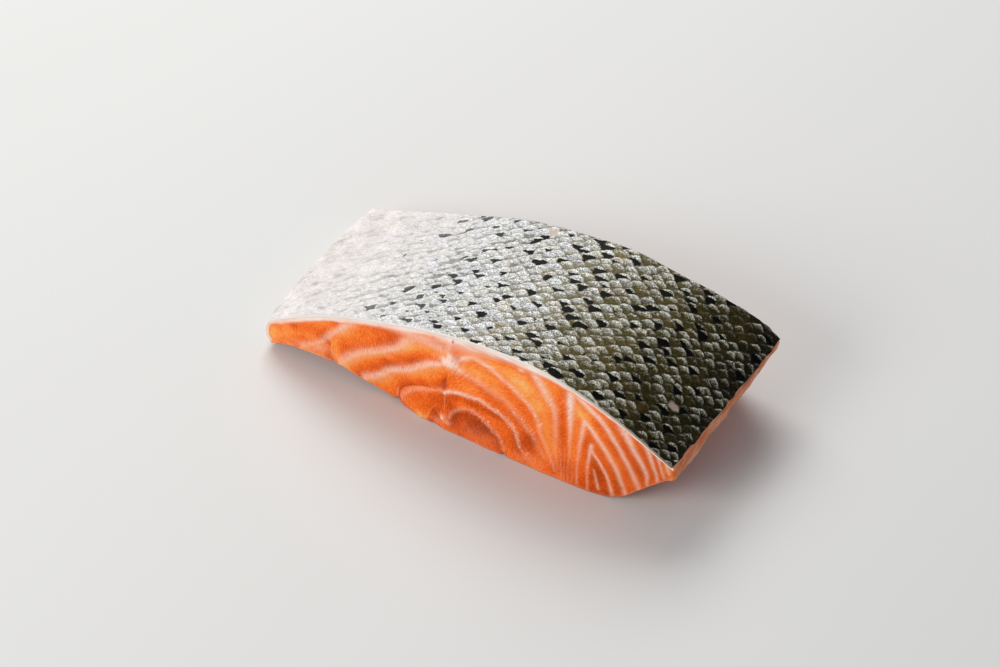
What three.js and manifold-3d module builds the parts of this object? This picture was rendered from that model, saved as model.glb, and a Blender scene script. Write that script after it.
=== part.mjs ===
// A raw, skin-on portion of salmon, cut straight across a side of fish and lying skin side up.
// Millimetres, +Z up. +X runs from the thin belly edge to the back of the fish, and +Y towards its
// tail. The origin is under the middle of the bounding box, on the surface that the portion lies on.
import * as THREE from "three";
import { mergeVertices } from "three/addons/utils/BufferGeometryUtils.js";
import Module from "manifold-3d";

// Driving dimensions.
const LENGTH = 150; // from the belly edge to the back edge, on the front cut face
const WIDTH = 63.4; // from one cut face to the other, along the skin
const SKIN = 1; // thickness of the skin
const GAP = 0.3; // between the skin and the flesh under it
const LEAN = 3; // how far the foot of the front cut face stands out past its skin edge
const FLAP = 0.8; // how far the loose flap of flesh stands out from the front cut face
const BULGE = 0.8; // how far the back cut face swells at half height
const TAIL_THINNING = 3.8; // how much higher the underside lies at the far end of the back edge
const CORNER_REACH = 2; // how far the far end of the back edge stands out past the back cut face
const GROOVE = 0.55; // radius of the grooves where two flakes of flesh meet
const SCALE = { width: 4.5, row: 2.3, relief: 0.35 }; // one scale's width, the rows' pitch, its height

const BELLY_X = -LENGTH / 2;
const BACK_X = LENGTH / 2;
const FRONT_Y = (-WIDTH + LEAN) / 2; // the skin's edge on the front cut face
const BACK_Y = FRONT_Y + WIDTH; // the skin's edge on the back cut face
const BEVEL_X = 48; // where the underside starts to rise towards the back edge
const PAST = 1.5; // how far a piece is drawn past the cut at the back edge before it is trimmed

// The skin's outer line on the front cut face, from under the belly edge, round it and over the top.
const SKIN_LINE = [
  [-73.6, 1.6],
  [-75, 5],
  [-73.8, 9.8],
  [-69, 13.8],
  [-50, 24.5],
  [-20, 34.5],
  [0, 38.6],
  [18, 40.1],
  [35, 38.6],
  [55, 32.4],
  [75, 22.5],
  [BACK_X + PAST, 21.6],
];
// How much lower than that the skin lies at the back cut face.
const TAIL_DROP = [
  [-75, 0],
  [-66, 2.8],
  [-57, 4.4],
  [-45, 4.7],
  [-20, 3],
  [-5, 2.7],
  [10, 2.6],
  [22, 1.8],
  [36, 1.7],
  [48, 0.3],
  [56, 0],
  [BACK_X + PAST, 0],
];
// How much the skin swells towards the far end of the back edge, where the fish is rounder.
const CORNER_RISE = [
  [44, 0],
  [56, 1.5],
  [64, 2.4],
  [70, 2.9],
  [BACK_X + PAST, 1.6],
];
const CORNER_FROM = 50; // where the back cut face starts to swing out towards that corner
// How far the belly edge bows outwards, from the front cut face at 0 to the back cut face at 1, and
// the x between which the bow fades out.
const BELLY_BOW = [
  [0, 0],
  [0.12, 1.6],
  [0.3, 2.8],
  [0.5, 3.4],
  [0.8, 3.7],
  [1, 2.7],
];
const BOW_FADE = [-70, -30];
// The underside: hollow under the belly, flat where it rests, then bevelled up to the back edge.
const UNDERSIDE = [
  [-74, 0.7],
  [-66, 3.2],
  [-57, 4.7],
  [-48, 4.7],
  [-36, 2.6],
  [-20, 0.3],
  [-8, 0],
  [BEVEL_X, 0],
  [57, 1.6],
  [63, 6.4],
  [75, 17.6],
  [BACK_X + PAST, 18.4],
];
// Where the front cut face leans out, as a share of LEAN.
const LEAN_ALONG = [
  [-75, 0],
  [-30, 0],
  [-8, 1],
  [45, 1],
  [68, 0],
  [BACK_X + PAST, 0],
];

// The seams between flakes, as they show on a cut face. The middle line parts the belly muscle from
// the back muscle. Arches stand beside it, each with its crown on it and its foot nearer the back.
const MIDDLE_X = -4.5;
const MIDDLE_LINE = { from: [-7, 3], to: [MIDDLE_X, 32], bow: 0.6 };
const ARCHES = [
  { crown: 12.5, foot: 17 },
  { crown: 17.8, foot: 22.5 },
  { crown: 25.4, foot: 32 },
  { crown: 32.3, foot: 35.5 },
];
const ARCH_ROUNDNESS = 1.9; // the power of the arches' superellipse: 2 is an ellipse
// Chevrons, each from its left foot over its tip to its right foot.
const CHEVRONS = [
  { left: [39.6, 0], tip: [38.6, 36.5], right: [63, 7.4] },
  { left: [42.8, 0], tip: [44.3, 26.2], right: [59.6, 3.6] },
  { left: [46.8, 0], tip: [47.3, 18.1], right: [55.2, 1.2] },
];
const CHEVRON_BOWS = [0.4, 2.6]; // how far a chevron's left and right legs bow outwards
// Single seams, each from the skin or the middle line down to the underside.
const SEAMS = [
  { from: [24, 38.4], to: [36, 5], bow: 4 },
  { from: [55.5, 31], to: [66.6, 10.6], bow: 1.6 },
  { from: [64, 27.4], to: [69.6, 14.6], bow: 0.5 },
  { from: [-5, 25.9], to: [-37.5, 4.2], bow: -1.8 },
  { from: [-6, 30.8], to: [-46.5, 5.4], bow: -4 },
  { from: [-38, 28.2], to: [-53, 12.5], bow: 0.6 },
];
// Nicks that the seams leave in the underside, which run slantwise to the back cut face.
const NICKS = [
  { x: -48, depth: 1.3 },
  { x: -25, depth: 1.4 },
  { x: 17, depth: 1 },
];
const NICK_SLANT = 9;
// The loose flap on the front cut face: from its root on the middle line, along its free edge to its
// tip, and back up inside. Each bend goes by a control point to its end.
const FLAP_ROOT = [-6.5, 15.6];
const FLAP_BENDS = [
  { by: [-16.5, 14.4], to: [-21.5, 9] },
  { by: [-24, 6], to: [-22.6, 2.6] },
  { by: [-19, 0.2], to: [-15, 0.2] },
  { by: [-12.5, 0.2], to: [-10.5, 6] },
];
const SCALES_FADE = [-48, -20]; // the belly is smooth up to the first x, the scales full from the other

// How finely each piece is divided.
const FLESH_STEPS = { along: 56, across: 6, up: 6 };
const LINING_STEPS = { along: 36, across: 6 }; // the skin's smooth inner side
const FLESH_ENDS = [0.004, 0.996]; // where the flesh's top starts and ends, as shares of SKIN_LINE
const GATHER = 1.4; // above 1, steps crowd towards the tight bend round the belly edge
const GROOVE_SIDES = 5;
const GROOVE_STEP = 6; // mm of seam to each straight stretch of groove

const fleshMaterial = new THREE.MeshStandardMaterial({
  name: "flesh",
  color: 0xe8743a,
  roughness: 0.35,
});
const skinMaterial = new THREE.MeshStandardMaterial({
  name: "skin",
  color: 0xa9aaa0,
  roughness: 0.3,
});

const wasm = await Module();
wasm.setup();

// A smooth height at x through [x, height] knots, a cubic with the neighbours' slope at each knot.
function through(knots, x) {
  const last = knots.length - 1;
  let i = 0;
  while (i < last - 1 && x > knots[i + 1][0]) i += 1;
  const slope = (k) => {
    const [a, b] = [knots[Math.max(k - 1, 0)], knots[Math.min(k + 1, last)]];
    return (b[1] - a[1]) / (b[0] - a[0]);
  };
  const [[x0, z0], [x1, z1]] = [knots[i], knots[i + 1]];
  const span = x1 - x0;
  const t = THREE.MathUtils.clamp((x - x0) / span, 0, 1);
  const rise = span * (slope(i) * t * (1 - t) ** 2 - slope(i + 1) * t * t * (1 - t));
  return THREE.MathUtils.lerp(z0, z1, t * t * (3 - 2 * t)) + rise;
}

const SKIN_TOP = SKIN_LINE.slice(2); // the part of the skin's line that has one height at each x
const skinCurve = new THREE.SplineCurve(SKIN_LINE.map(([x, z]) => new THREE.Vector2(x, z)));

// How much lower the skin lies at x than on the front cut face, a share `back` of the way to the back.
function skinDrop(x, back) {
  const rise = x > CORNER_RISE[0][0] ? Math.max(through(CORNER_RISE, x), 0) : 0;
  return Math.max(through(TAIL_DROP, x), 0) * back - rise * back ** 2;
}

// A point of the skin's outer line at a share of its length, `deep` mm inside it, on the section that
// lies a share `back` of the way from the front cut face to the back one.
function skinPoint(share, deep, back) {
  const point = skinCurve.getPointAt(share);
  const ahead = skinCurve.getTangentAt(share);
  const x = point.x + ahead.y * deep;
  return new THREE.Vector2(x, point.y - ahead.x * deep - skinDrop(x, back));
}

function undersideHeight(x, back) {
  const bevel = THREE.MathUtils.smoothstep(x, BEVEL_X, BACK_X);
  return Math.max(through(UNDERSIDE, x), 0) + TAIL_THINNING * bevel * back;
}

// Where the front and back cut faces lie at a height of `up`, from 0 at the underside to 1 at the skin.
function frontFace(x, up) {
  return FRONT_Y - LEAN * Math.max(through(LEAN_ALONG, x), 0) * (1 - up);
}

function backEdge(x) {
  return BACK_Y + CORNER_REACH * THREE.MathUtils.smoothstep(x, CORNER_FROM, BACK_X);
}

function backFace(x, up) {
  return backEdge(x) + BULGE * 4 * up * (1 - up) * THREE.MathUtils.smoothstep(x, BELLY_X, 0);
}

// Where the bow of the belly edge takes a point.
function bowedX(x, y) {
  const fade = 1 - THREE.MathUtils.smoothstep(x, ...BOW_FADE);
  return x - Math.max(through(BELLY_BOW, (y - FRONT_Y) / WIDTH), 0) * fade;
}

// The closed body of a geometry.
function bodyOf(geometry) {
  const bare = new THREE.BufferGeometry();
  bare.setAttribute("position", geometry.getAttribute("position"));
  bare.setIndex(geometry.index);
  const merged = mergeVertices(bare, 1e-4);
  const mesh = new wasm.Mesh({
    numProp: 3,
    vertProperties: merged.attributes.position.array,
    triVerts: new Uint32Array(merged.index.array),
  });
  return new wasm.Manifold(mesh);
}

// The geometry of a finished body, with its belly edge bowed outwards.
function geometryOf(body) {
  const mesh = body.getMesh();
  const geometry = new THREE.BufferGeometry();
  const places = new THREE.BufferAttribute(mesh.vertProperties, 3);
  for (let i = 0; i < places.count; i += 1) {
    places.setX(i, bowedX(places.getX(i), places.getY(i)));
  }
  geometry.setAttribute("position", places);
  geometry.setIndex(new THREE.BufferAttribute(mesh.triVerts, 1));
  geometry.computeVertexNormals();
  return geometry;
}

// The straight cut at the back edge of the fish.
function trimmed(body) {
  const reach = 2 * LENGTH;
  const keep = new THREE.BoxGeometry(reach, reach, reach).translate(BACK_X - reach / 2, 0, 0);
  return body.intersect(bodyOf(keep));
}

// The flesh without its seams: a block whose top follows the skin and whose bottom is the underside.
function fleshBlock() {
  const steps = [FLESH_STEPS.along, FLESH_STEPS.across, FLESH_STEPS.up];
  const block = new THREE.BoxGeometry(1, 1, 1, ...steps).translate(0.5, 0.5, 0.5);
  const places = block.getAttribute("position");
  const [foot, end] = [UNDERSIDE[0][0] + 1.5 * (SKIN + GAP), BACK_X + PAST / 2];
  for (let i = 0; i < places.count; i += 1) {
    const [share, back, height] = [places.getX(i), places.getY(i), places.getZ(i)];
    const along = THREE.MathUtils.lerp(...FLESH_ENDS, share ** GATHER);
    const top = skinPoint(along, SKIN + GAP, back);
    const footX = THREE.MathUtils.lerp(foot, end, share);
    const x = THREE.MathUtils.lerp(footX, top.x, height);
    const y = THREE.MathUtils.lerp(frontFace(x, height), backFace(x, height), back);
    const z = THREE.MathUtils.lerp(undersideHeight(footX, back), top.y, height);
    places.setXYZ(i, x, y, z);
  }
  return bodyOf(block);
}

// How far up between the underside and the skin a point of a cut face lies, from 0 to 1.
function shareUp(x, z, back) {
  const low = undersideHeight(x, back);
  const high = through(SKIN_TOP, x) - SKIN - skinDrop(x, back);
  return THREE.MathUtils.clamp((z - low) / (high - low), 0, 1);
}

function onFace([x, z], back) {
  const up = shareUp(x, z, back);
  return new THREE.Vector3(x, back ? backFace(x, up) : frontFace(x, up), z);
}

// A seam's line on a cut face, from one [x, z] point to another, bowed to its left at its middle.
function bowed({ from, to, bow }) {
  const [start, end] = [new THREE.Vector2(...from), new THREE.Vector2(...to)];
  const ahead = end.clone().sub(start).normalize();
  const left = new THREE.Vector2(-ahead.y, ahead.x);
  const middle = start.clone().lerp(end, 0.5).addScaledVector(left, 2 * bow);
  return new THREE.QuadraticBezierCurve(start, middle, end);
}

function arch({ crown, foot }) {
  const steps = Math.ceil((crown + foot) / GROOVE_STEP) * 2;
  const points = Array.from({ length: steps + 1 }, (_, i) => {
    const angle = (i / steps) * (Math.PI / 2);
    const power = 2 / ARCH_ROUNDNESS;
    return new THREE.Vector2(
      MIDDLE_X + (foot - MIDDLE_X) * Math.sin(angle) ** power,
      crown * Math.cos(angle) ** power,
    );
  });
  return new THREE.SplineCurve(points);
}

// Every seam's line, as a curve of [x, z] points.
function seamLines() {
  const [leftBow, rightBow] = CHEVRON_BOWS;
  const legs = CHEVRONS.flatMap(({ left, tip, right }) => [
    { from: left, to: tip, bow: leftBow },
    { from: tip, to: right, bow: rightBow },
  ]);
  return [...ARCHES.map(arch), ...[...legs, ...SEAMS, MIDDLE_LINE].map(bowed)];
}

// A round cutter along a line of points.
function cutterAlong(points, radius, sides) {
  const curve = new THREE.CatmullRomCurve3(points);
  const outline = new THREE.Shape();
  for (let i = 0; i < sides; i += 1) {
    const angle = (2 * Math.PI * i) / sides;
    const corner = [radius * Math.cos(angle), radius * Math.sin(angle)];
    if (i) outline.lineTo(...corner);
    else outline.moveTo(...corner);
  }
  const steps = Math.max(Math.round(curve.getLength() / GROOVE_STEP), 3);
  return bodyOf(new THREE.ExtrudeGeometry(outline, { steps, extrudePath: curve, bevelEnabled: false }));
}

function seamCutters() {
  return [0, 1].flatMap((back) =>
    seamLines().map((line) => {
      const steps = Math.max(Math.round(line.getLength() / GROOVE_STEP), 3);
      const points = line.getSpacedPoints(steps).map(({ x, y }) => onFace([x, y], back));
      return cutterAlong(points, GROOVE, GROOVE_SIDES);
    }),
  );
}

function nickCutters() {
  const [near, far] = [FRONT_Y - 2 * LEAN, BACK_Y + 2 * BULGE];
  return NICKS.map(({ x, depth }) => {
    const endX = x + NICK_SLANT;
    const start = new THREE.Vector3(x, near, undersideHeight(x, 0));
    const end = new THREE.Vector3(endX, far, undersideHeight(endX, 1));
    return cutterAlong([start, start.clone().lerp(end, 0.5), end], depth, 3);
  });
}

// The loose flap, a rounded tongue that stands out from the front cut face.
function flapBody() {
  const outline = new THREE.Shape();
  outline.moveTo(...FLAP_ROOT);
  FLAP_BENDS.forEach(({ by, to }) => outline.quadraticCurveTo(...by, ...to));
  outline.closePath();
  const rounding = FLAP / 2;
  const tongue = new THREE.ExtrudeGeometry(outline, {
    depth: 2 * FLAP - rounding,
    curveSegments: 6,
    bevelThickness: rounding,
    bevelSize: rounding,
    bevelOffset: -rounding,
    bevelSegments: 1,
  });
  tongue.rotateX(Math.PI / 2);
  const places = tongue.getAttribute("position");
  for (let i = 0; i < places.count; i += 1) {
    const [x, y, z] = [places.getX(i), places.getY(i), places.getZ(i)];
    places.setY(i, y + frontFace(x, shareUp(x, z, 0)) + FLAP);
  }
  return bodyOf(tongue);
}

function fleshGeometry() {
  const cutters = [...seamCutters(), ...nickCutters()];
  const cut = cutters.reduce((body, cutter) => body.subtract(cutter), fleshBlock());
  return geometryOf(trimmed(cut.add(flapBody())));
}

// Scales lie in staggered rows, each a low pyramid. They fade out towards the smooth belly.
function scaleRelief(column, row, x) {
  const fade = THREE.MathUtils.smoothstep(x, ...SCALES_FADE);
  return (column + row) % 2 ? 0 : SCALE.relief * fade;
}

// A sheet of points over the skin, `deep` mm under its outer line, as rows of vectors. share() spaces
// the columns along the line, and relief() lifts each point.
function skinSheet(columns, rows, deep, share, relief) {
  return Array.from({ length: rows + 1 }, (_, j) =>
    Array.from({ length: columns + 1 }, (_, i) => {
      const back = j / rows;
      const { x, y: z } = skinPoint(share(i / columns), deep, back);
      return new THREE.Vector3(x, THREE.MathUtils.lerp(FRONT_Y, backEdge(x), back), z + relief(i, j, x));
    }),
  );
}

// The rim of a sheet, once round: along its front, up its far end, back and down again.
function rimOf(sheet) {
  const [rows, columns] = [sheet.length - 1, sheet[0].length - 1];
  const front = sheet[0].slice(0, columns);
  const far = sheet.slice(0, rows).map((row) => row[columns]);
  const back = sheet[rows].slice(1).reverse();
  const near = sheet.slice(1).map((row) => row[0]).reverse();
  return [front, far, back, near];
}

// Triangles that join two sides with different numbers of points.
function joined(upper, lower) {
  const triangles = [];
  let [i, j] = [0, 0];
  while (i < upper.length - 1 || j < lower.length - 1) {
    const upperFirst = (i + 1) / (upper.length - 1) <= (j + 1) / (lower.length - 1);
    if (j === lower.length - 1 || (upperFirst && i < upper.length - 1)) {
      triangles.push([upper[i], lower[j], upper[i + 1]]);
      i += 1;
    } else {
      triangles.push([upper[i], lower[j], lower[j + 1]]);
      j += 1;
    }
  }
  return triangles;
}

function sheetTriangles(sheet, flipped) {
  const triangles = [];
  for (let j = 0; j < sheet.length - 1; j += 1) {
    for (let i = 0; i < sheet[j].length - 1; i += 1) {
      const [a, b, c, d] = [sheet[j][i], sheet[j][i + 1], sheet[j + 1][i + 1], sheet[j + 1][i]];
      const pair = (i + j) % 2 ? [[a, b, c], [a, c, d]] : [[a, b, d], [b, c, d]];
      pair.forEach(([p, q, r]) => triangles.push(flipped ? [p, r, q] : [p, q, r]));
    }
  }
  return triangles;
}

function skinGeometry() {
  const columns = 2 * Math.round(skinCurve.getLength() / SCALE.width);
  const rows = Math.round(WIDTH / SCALE.row);
  const { along, across } = LINING_STEPS;
  const outer = skinSheet(columns, rows, 0, (share) => share, scaleRelief);
  const lining = skinSheet(along, across, SKIN, (share) => share ** GATHER, () => 0);
  const [outerRim, liningRim] = [rimOf(outer), rimOf(lining)];
  const edge = outerRim.flatMap((side, k) => {
    const next = (k + 1) % outerRim.length;
    return joined([...side, outerRim[next][0]], [...liningRim[k], liningRim[next][0]]);
  });
  const triangles = [...sheetTriangles(outer, false), ...sheetTriangles(lining, true), ...edge];
  const geometry = new THREE.BufferGeometry().setFromPoints(triangles.flat());
  return geometryOf(trimmed(bodyOf(geometry)));
}

function piece(name, geometry, material) {
  const mesh = new THREE.Mesh(geometry, material);
  mesh.name = name;
  return mesh;
}

const portion = new THREE.Group();
portion.name = "salmon_portion";
portion.add(piece("flesh", fleshGeometry(), fleshMaterial));
portion.add(piece("skin", skinGeometry(), skinMaterial));
const { min, max } = new THREE.Box3().setFromObject(portion);
portion.position.set(-(min.x + max.x) / 2, -(min.y + max.y) / 2, -min.z);

export default portion;
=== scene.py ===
"""The looks of a raw, skin-on salmon portion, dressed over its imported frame.

Lengths are in millimetres unless a name or comment says otherwise, in the frame of the part: +X from
the belly edge to the back of the fish, +Y towards its tail, +Z up. Objects are made in metres.
"""

import itertools
import math

import bpy
import numpy as np
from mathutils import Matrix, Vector


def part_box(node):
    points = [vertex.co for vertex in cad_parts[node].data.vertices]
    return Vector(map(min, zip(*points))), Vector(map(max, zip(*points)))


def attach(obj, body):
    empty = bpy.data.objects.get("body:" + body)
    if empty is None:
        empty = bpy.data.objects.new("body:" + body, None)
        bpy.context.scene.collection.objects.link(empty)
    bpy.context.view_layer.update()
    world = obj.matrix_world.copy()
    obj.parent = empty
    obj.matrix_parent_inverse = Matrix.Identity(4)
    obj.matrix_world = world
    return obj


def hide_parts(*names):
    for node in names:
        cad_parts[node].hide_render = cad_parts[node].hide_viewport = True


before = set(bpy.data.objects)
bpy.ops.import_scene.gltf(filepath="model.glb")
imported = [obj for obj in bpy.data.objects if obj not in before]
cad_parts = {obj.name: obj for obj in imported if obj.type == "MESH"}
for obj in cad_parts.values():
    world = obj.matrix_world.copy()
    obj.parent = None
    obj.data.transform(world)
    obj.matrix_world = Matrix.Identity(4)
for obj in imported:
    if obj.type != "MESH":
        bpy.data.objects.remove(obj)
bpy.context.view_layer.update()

MM = 0.001

# ---- The portion's form, as in the frame. ----
BELLY_X, BACK_X = -75.0, 75.0  # the ends of the front cut face
WIDTH = 63.4  # from one cut face to the other, along the skin
SKIN = 1.0  # thickness of the skin
BELLY_SKIN = 0.4  # its thickness at the belly edge
THICKENING = (0.03, 0.2)  # the shares of the skin's line between which it gets thicker
TUCK = 0.15  # how far the flesh reaches into the skin, so that no gap shows
LEAN = 3.0  # how far the foot of the front cut face stands out past its skin edge
BULGE = 0.8  # how far the back cut face swells at half height
TAIL_THINNING = 3.8  # how much higher the underside lies at the far end of the back edge
CORNER_REACH = 2.0  # how far the far end of the back edge stands out past the back cut face
CORNER_FROM = 50.0  # where the back cut face starts to swing out towards that corner
BEVEL_X = 48.0  # where the underside starts to rise towards the back edge
FRONT_Y = -(WIDTH - LEAN) / 2
BACK_Y = FRONT_Y + WIDTH
skin_low, skin_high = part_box("skin")
# Where the zero of the measures here lies in the frame.
ORIGIN = np.array([skin_high.x / MM - BACK_X, skin_low.y / MM - FRONT_Y, 0.0])

# The skin's outer line on the front cut face, from under the belly edge, round it and over the top.
SKIN_LINE = [
    (-73.6, 1.6), (-75, 5), (-73.8, 9.8), (-69, 13.8), (-50, 24.5), (-20, 34.5),
    (0, 38.6), (18, 40.1), (35, 38.6), (55, 32.4), (75, 22.5), (76.5, 21.6),
]
SKIN_LINE_END = 0.9913  # the share of that line that ends at the cut at the back edge
# How much lower than that the skin lies at the back cut face, and how much it swells at its far end.
TAIL_DROP = [
    (-75, 0), (-66, 2.8), (-57, 4.4), (-45, 4.7), (-20, 3), (-5, 2.7), (10, 2.6), (22, 1.8),
    (36, 1.7), (48, 0.3), (56, 0), (76.5, 0),
]
CORNER_RISE = [(44, 0), (56, 1.5), (64, 2.4), (70, 2.9), (76.5, 1.6)]
UNDERSIDE = [
    (-74, 0.7), (-66, 3.2), (-57, 4.7), (-48, 4.7), (-36, 2.6), (-20, 0.3), (-8, 0),
    (BEVEL_X, 0), (57, 1.6), (63, 6.4), (75, 17.6), (76.5, 18.4),
]
LEAN_ALONG = [(-75, 0), (-30, 0), (-8, 1), (45, 1), (68, 0), (76.5, 0)]
# How far the belly edge bows outwards, from the front cut face at 0 to the back one at 1.
BELLY_BOW = [(0, 0), (0.12, 1.6), (0.3, 2.8), (0.5, 3.4), (0.8, 3.7), (1, 2.7)]
BOW_FADE = (-70, -30)


def smoothstep(value, low, high):
    share = np.clip((value - low) / (high - low), 0, 1)
    return share * share * (3 - 2 * share)


def hump(distance, width):
    """1 at no distance, falling softly to 0 at about twice the width."""
    return np.exp(-((distance / width) ** 2))


def blend(low, high, share):
    return low + (high - low) * share


def through(knots, x):
    """A smooth height at x through (x, height) knots: a cubic with the neighbours' slope at each knot."""
    knot_x, knot_z = (np.array(column, float) for column in zip(*knots))
    last = len(knots) - 1
    i = np.clip(np.searchsorted(knot_x, x, side="left") - 1, 0, last - 1)

    def slope(k):
        before, after = np.maximum(k - 1, 0), np.minimum(k + 1, last)
        return (knot_z[after] - knot_z[before]) / (knot_x[after] - knot_x[before])

    span = knot_x[i + 1] - knot_x[i]
    t = np.clip((x - knot_x[i]) / span, 0, 1)
    rise = span * (slope(i) * t * (1 - t) ** 2 - slope(i + 1) * t * t * (1 - t))
    return blend(knot_z[i], knot_z[i + 1], t * t * (3 - 2 * t)) + rise


def raised(knots, x):
    """The same height, but never below 0."""
    return np.maximum(through(knots, x), 0)


def straight(knots, x):
    """A height at x on straight lines through (x, height) knots."""
    return np.interp(x, *zip(*knots))


SPLINE_FINENESS = 60  # at how many places a curve is worked out for each given point


def spline(points, count):
    """`count` points spaced evenly along a smooth curve through a few given ones."""
    given = np.array(points, float)
    padded = np.vstack([given[:1], given, given[-1:]])
    place = np.linspace(0, len(given) - 1, SPLINE_FINENESS * len(given))
    i = np.minimum(place.astype(int), len(given) - 2)
    t = (place - i)[:, None]
    p0, p1, p2, p3 = (padded[i + k] for k in range(4))
    tangent_1, tangent_2 = (p2 - p0) / 2, (p3 - p1) / 2
    curve = (
        (2 * p1 - 2 * p2 + tangent_1 + tangent_2) * t**3
        + (-3 * p1 + 3 * p2 - 2 * tangent_1 - tangent_2) * t**2
        + tangent_1 * t
        + p1
    )
    run = np.concatenate([[0], np.cumsum(np.linalg.norm(np.diff(curve, axis=0), axis=1))])
    even = np.linspace(0, run[-1], count)
    return np.column_stack([np.interp(even, run, curve[:, k]) for k in range(2)])


SKIN_SAMPLES = 2400
skin_points = spline(SKIN_LINE, SKIN_SAMPLES)
skin_ahead = np.gradient(skin_points, axis=0)
skin_ahead /= np.linalg.norm(skin_ahead, axis=1)[:, None]
SKIN_LENGTH = np.linalg.norm(np.diff(skin_points, axis=0), axis=1).sum()


def skin_point(share, deep, back):
    """x and z at a share of the skin's line, `deep` mm inside it, a share `back` of the way to the
    back cut face."""
    at = share * (SKIN_SAMPLES - 1)
    order = np.arange(SKIN_SAMPLES)
    x, z = (np.interp(at, order, skin_points[:, k]) for k in range(2))
    ahead_x, ahead_z = (np.interp(at, order, skin_ahead[:, k]) for k in range(2))
    x = x + ahead_z * deep
    return x, z - ahead_x * deep - skin_drop(x, back)


def skin_drop(x, back):
    """How much lower the skin lies than on the front cut face."""
    rise = np.where(x > CORNER_RISE[0][0], raised(CORNER_RISE, x), 0)
    return raised(TAIL_DROP, x) * back - rise * back**2


def skin_thickness(share):
    return blend(BELLY_SKIN, SKIN, smoothstep(share, *THICKENING))


def underside_height(x, back):
    return raised(UNDERSIDE, x) + TAIL_THINNING * smoothstep(x, BEVEL_X, BACK_X) * back


def front_face(x, up):
    return FRONT_Y - LEAN * raised(LEAN_ALONG, x) * (1 - up)


def back_edge(x):
    return BACK_Y + CORNER_REACH * smoothstep(x, CORNER_FROM, BACK_X)


def back_face(x, up):
    return back_edge(x) + BULGE * 4 * up * (1 - up) * smoothstep(x, BELLY_X, 0)


def in_frame(points):
    """Points in the frame, in metres, with the belly edge bowed outwards."""
    x, y, z = points.T
    bow = raised(BELLY_BOW, (y - FRONT_Y) / WIDTH) * (1 - smoothstep(x, *BOW_FADE))
    return (np.stack([x - bow, y, z], -1) + ORIGIN) * MM


def value_noise(x, y, seed, size):
    """Smooth random heights from -1 to 1 over a plane, with bumps about `size` mm across."""
    side = 128
    lattice = np.random.default_rng(seed).uniform(-1, 1, (side, side))
    u, v = x / size, y / size
    i, j = np.floor(u).astype(int), np.floor(v).astype(int)
    a, b = u - i, v - j
    a, b = a * a * (3 - 2 * a), b * b * (3 - 2 * b)
    corner = lambda di, dj: lattice[(i + di) % side, (j + dj) % side]
    low = blend(corner(0, 0), corner(1, 0), a)
    high = blend(corner(0, 1), corner(1, 1), a)
    return blend(low, high, b)


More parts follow.
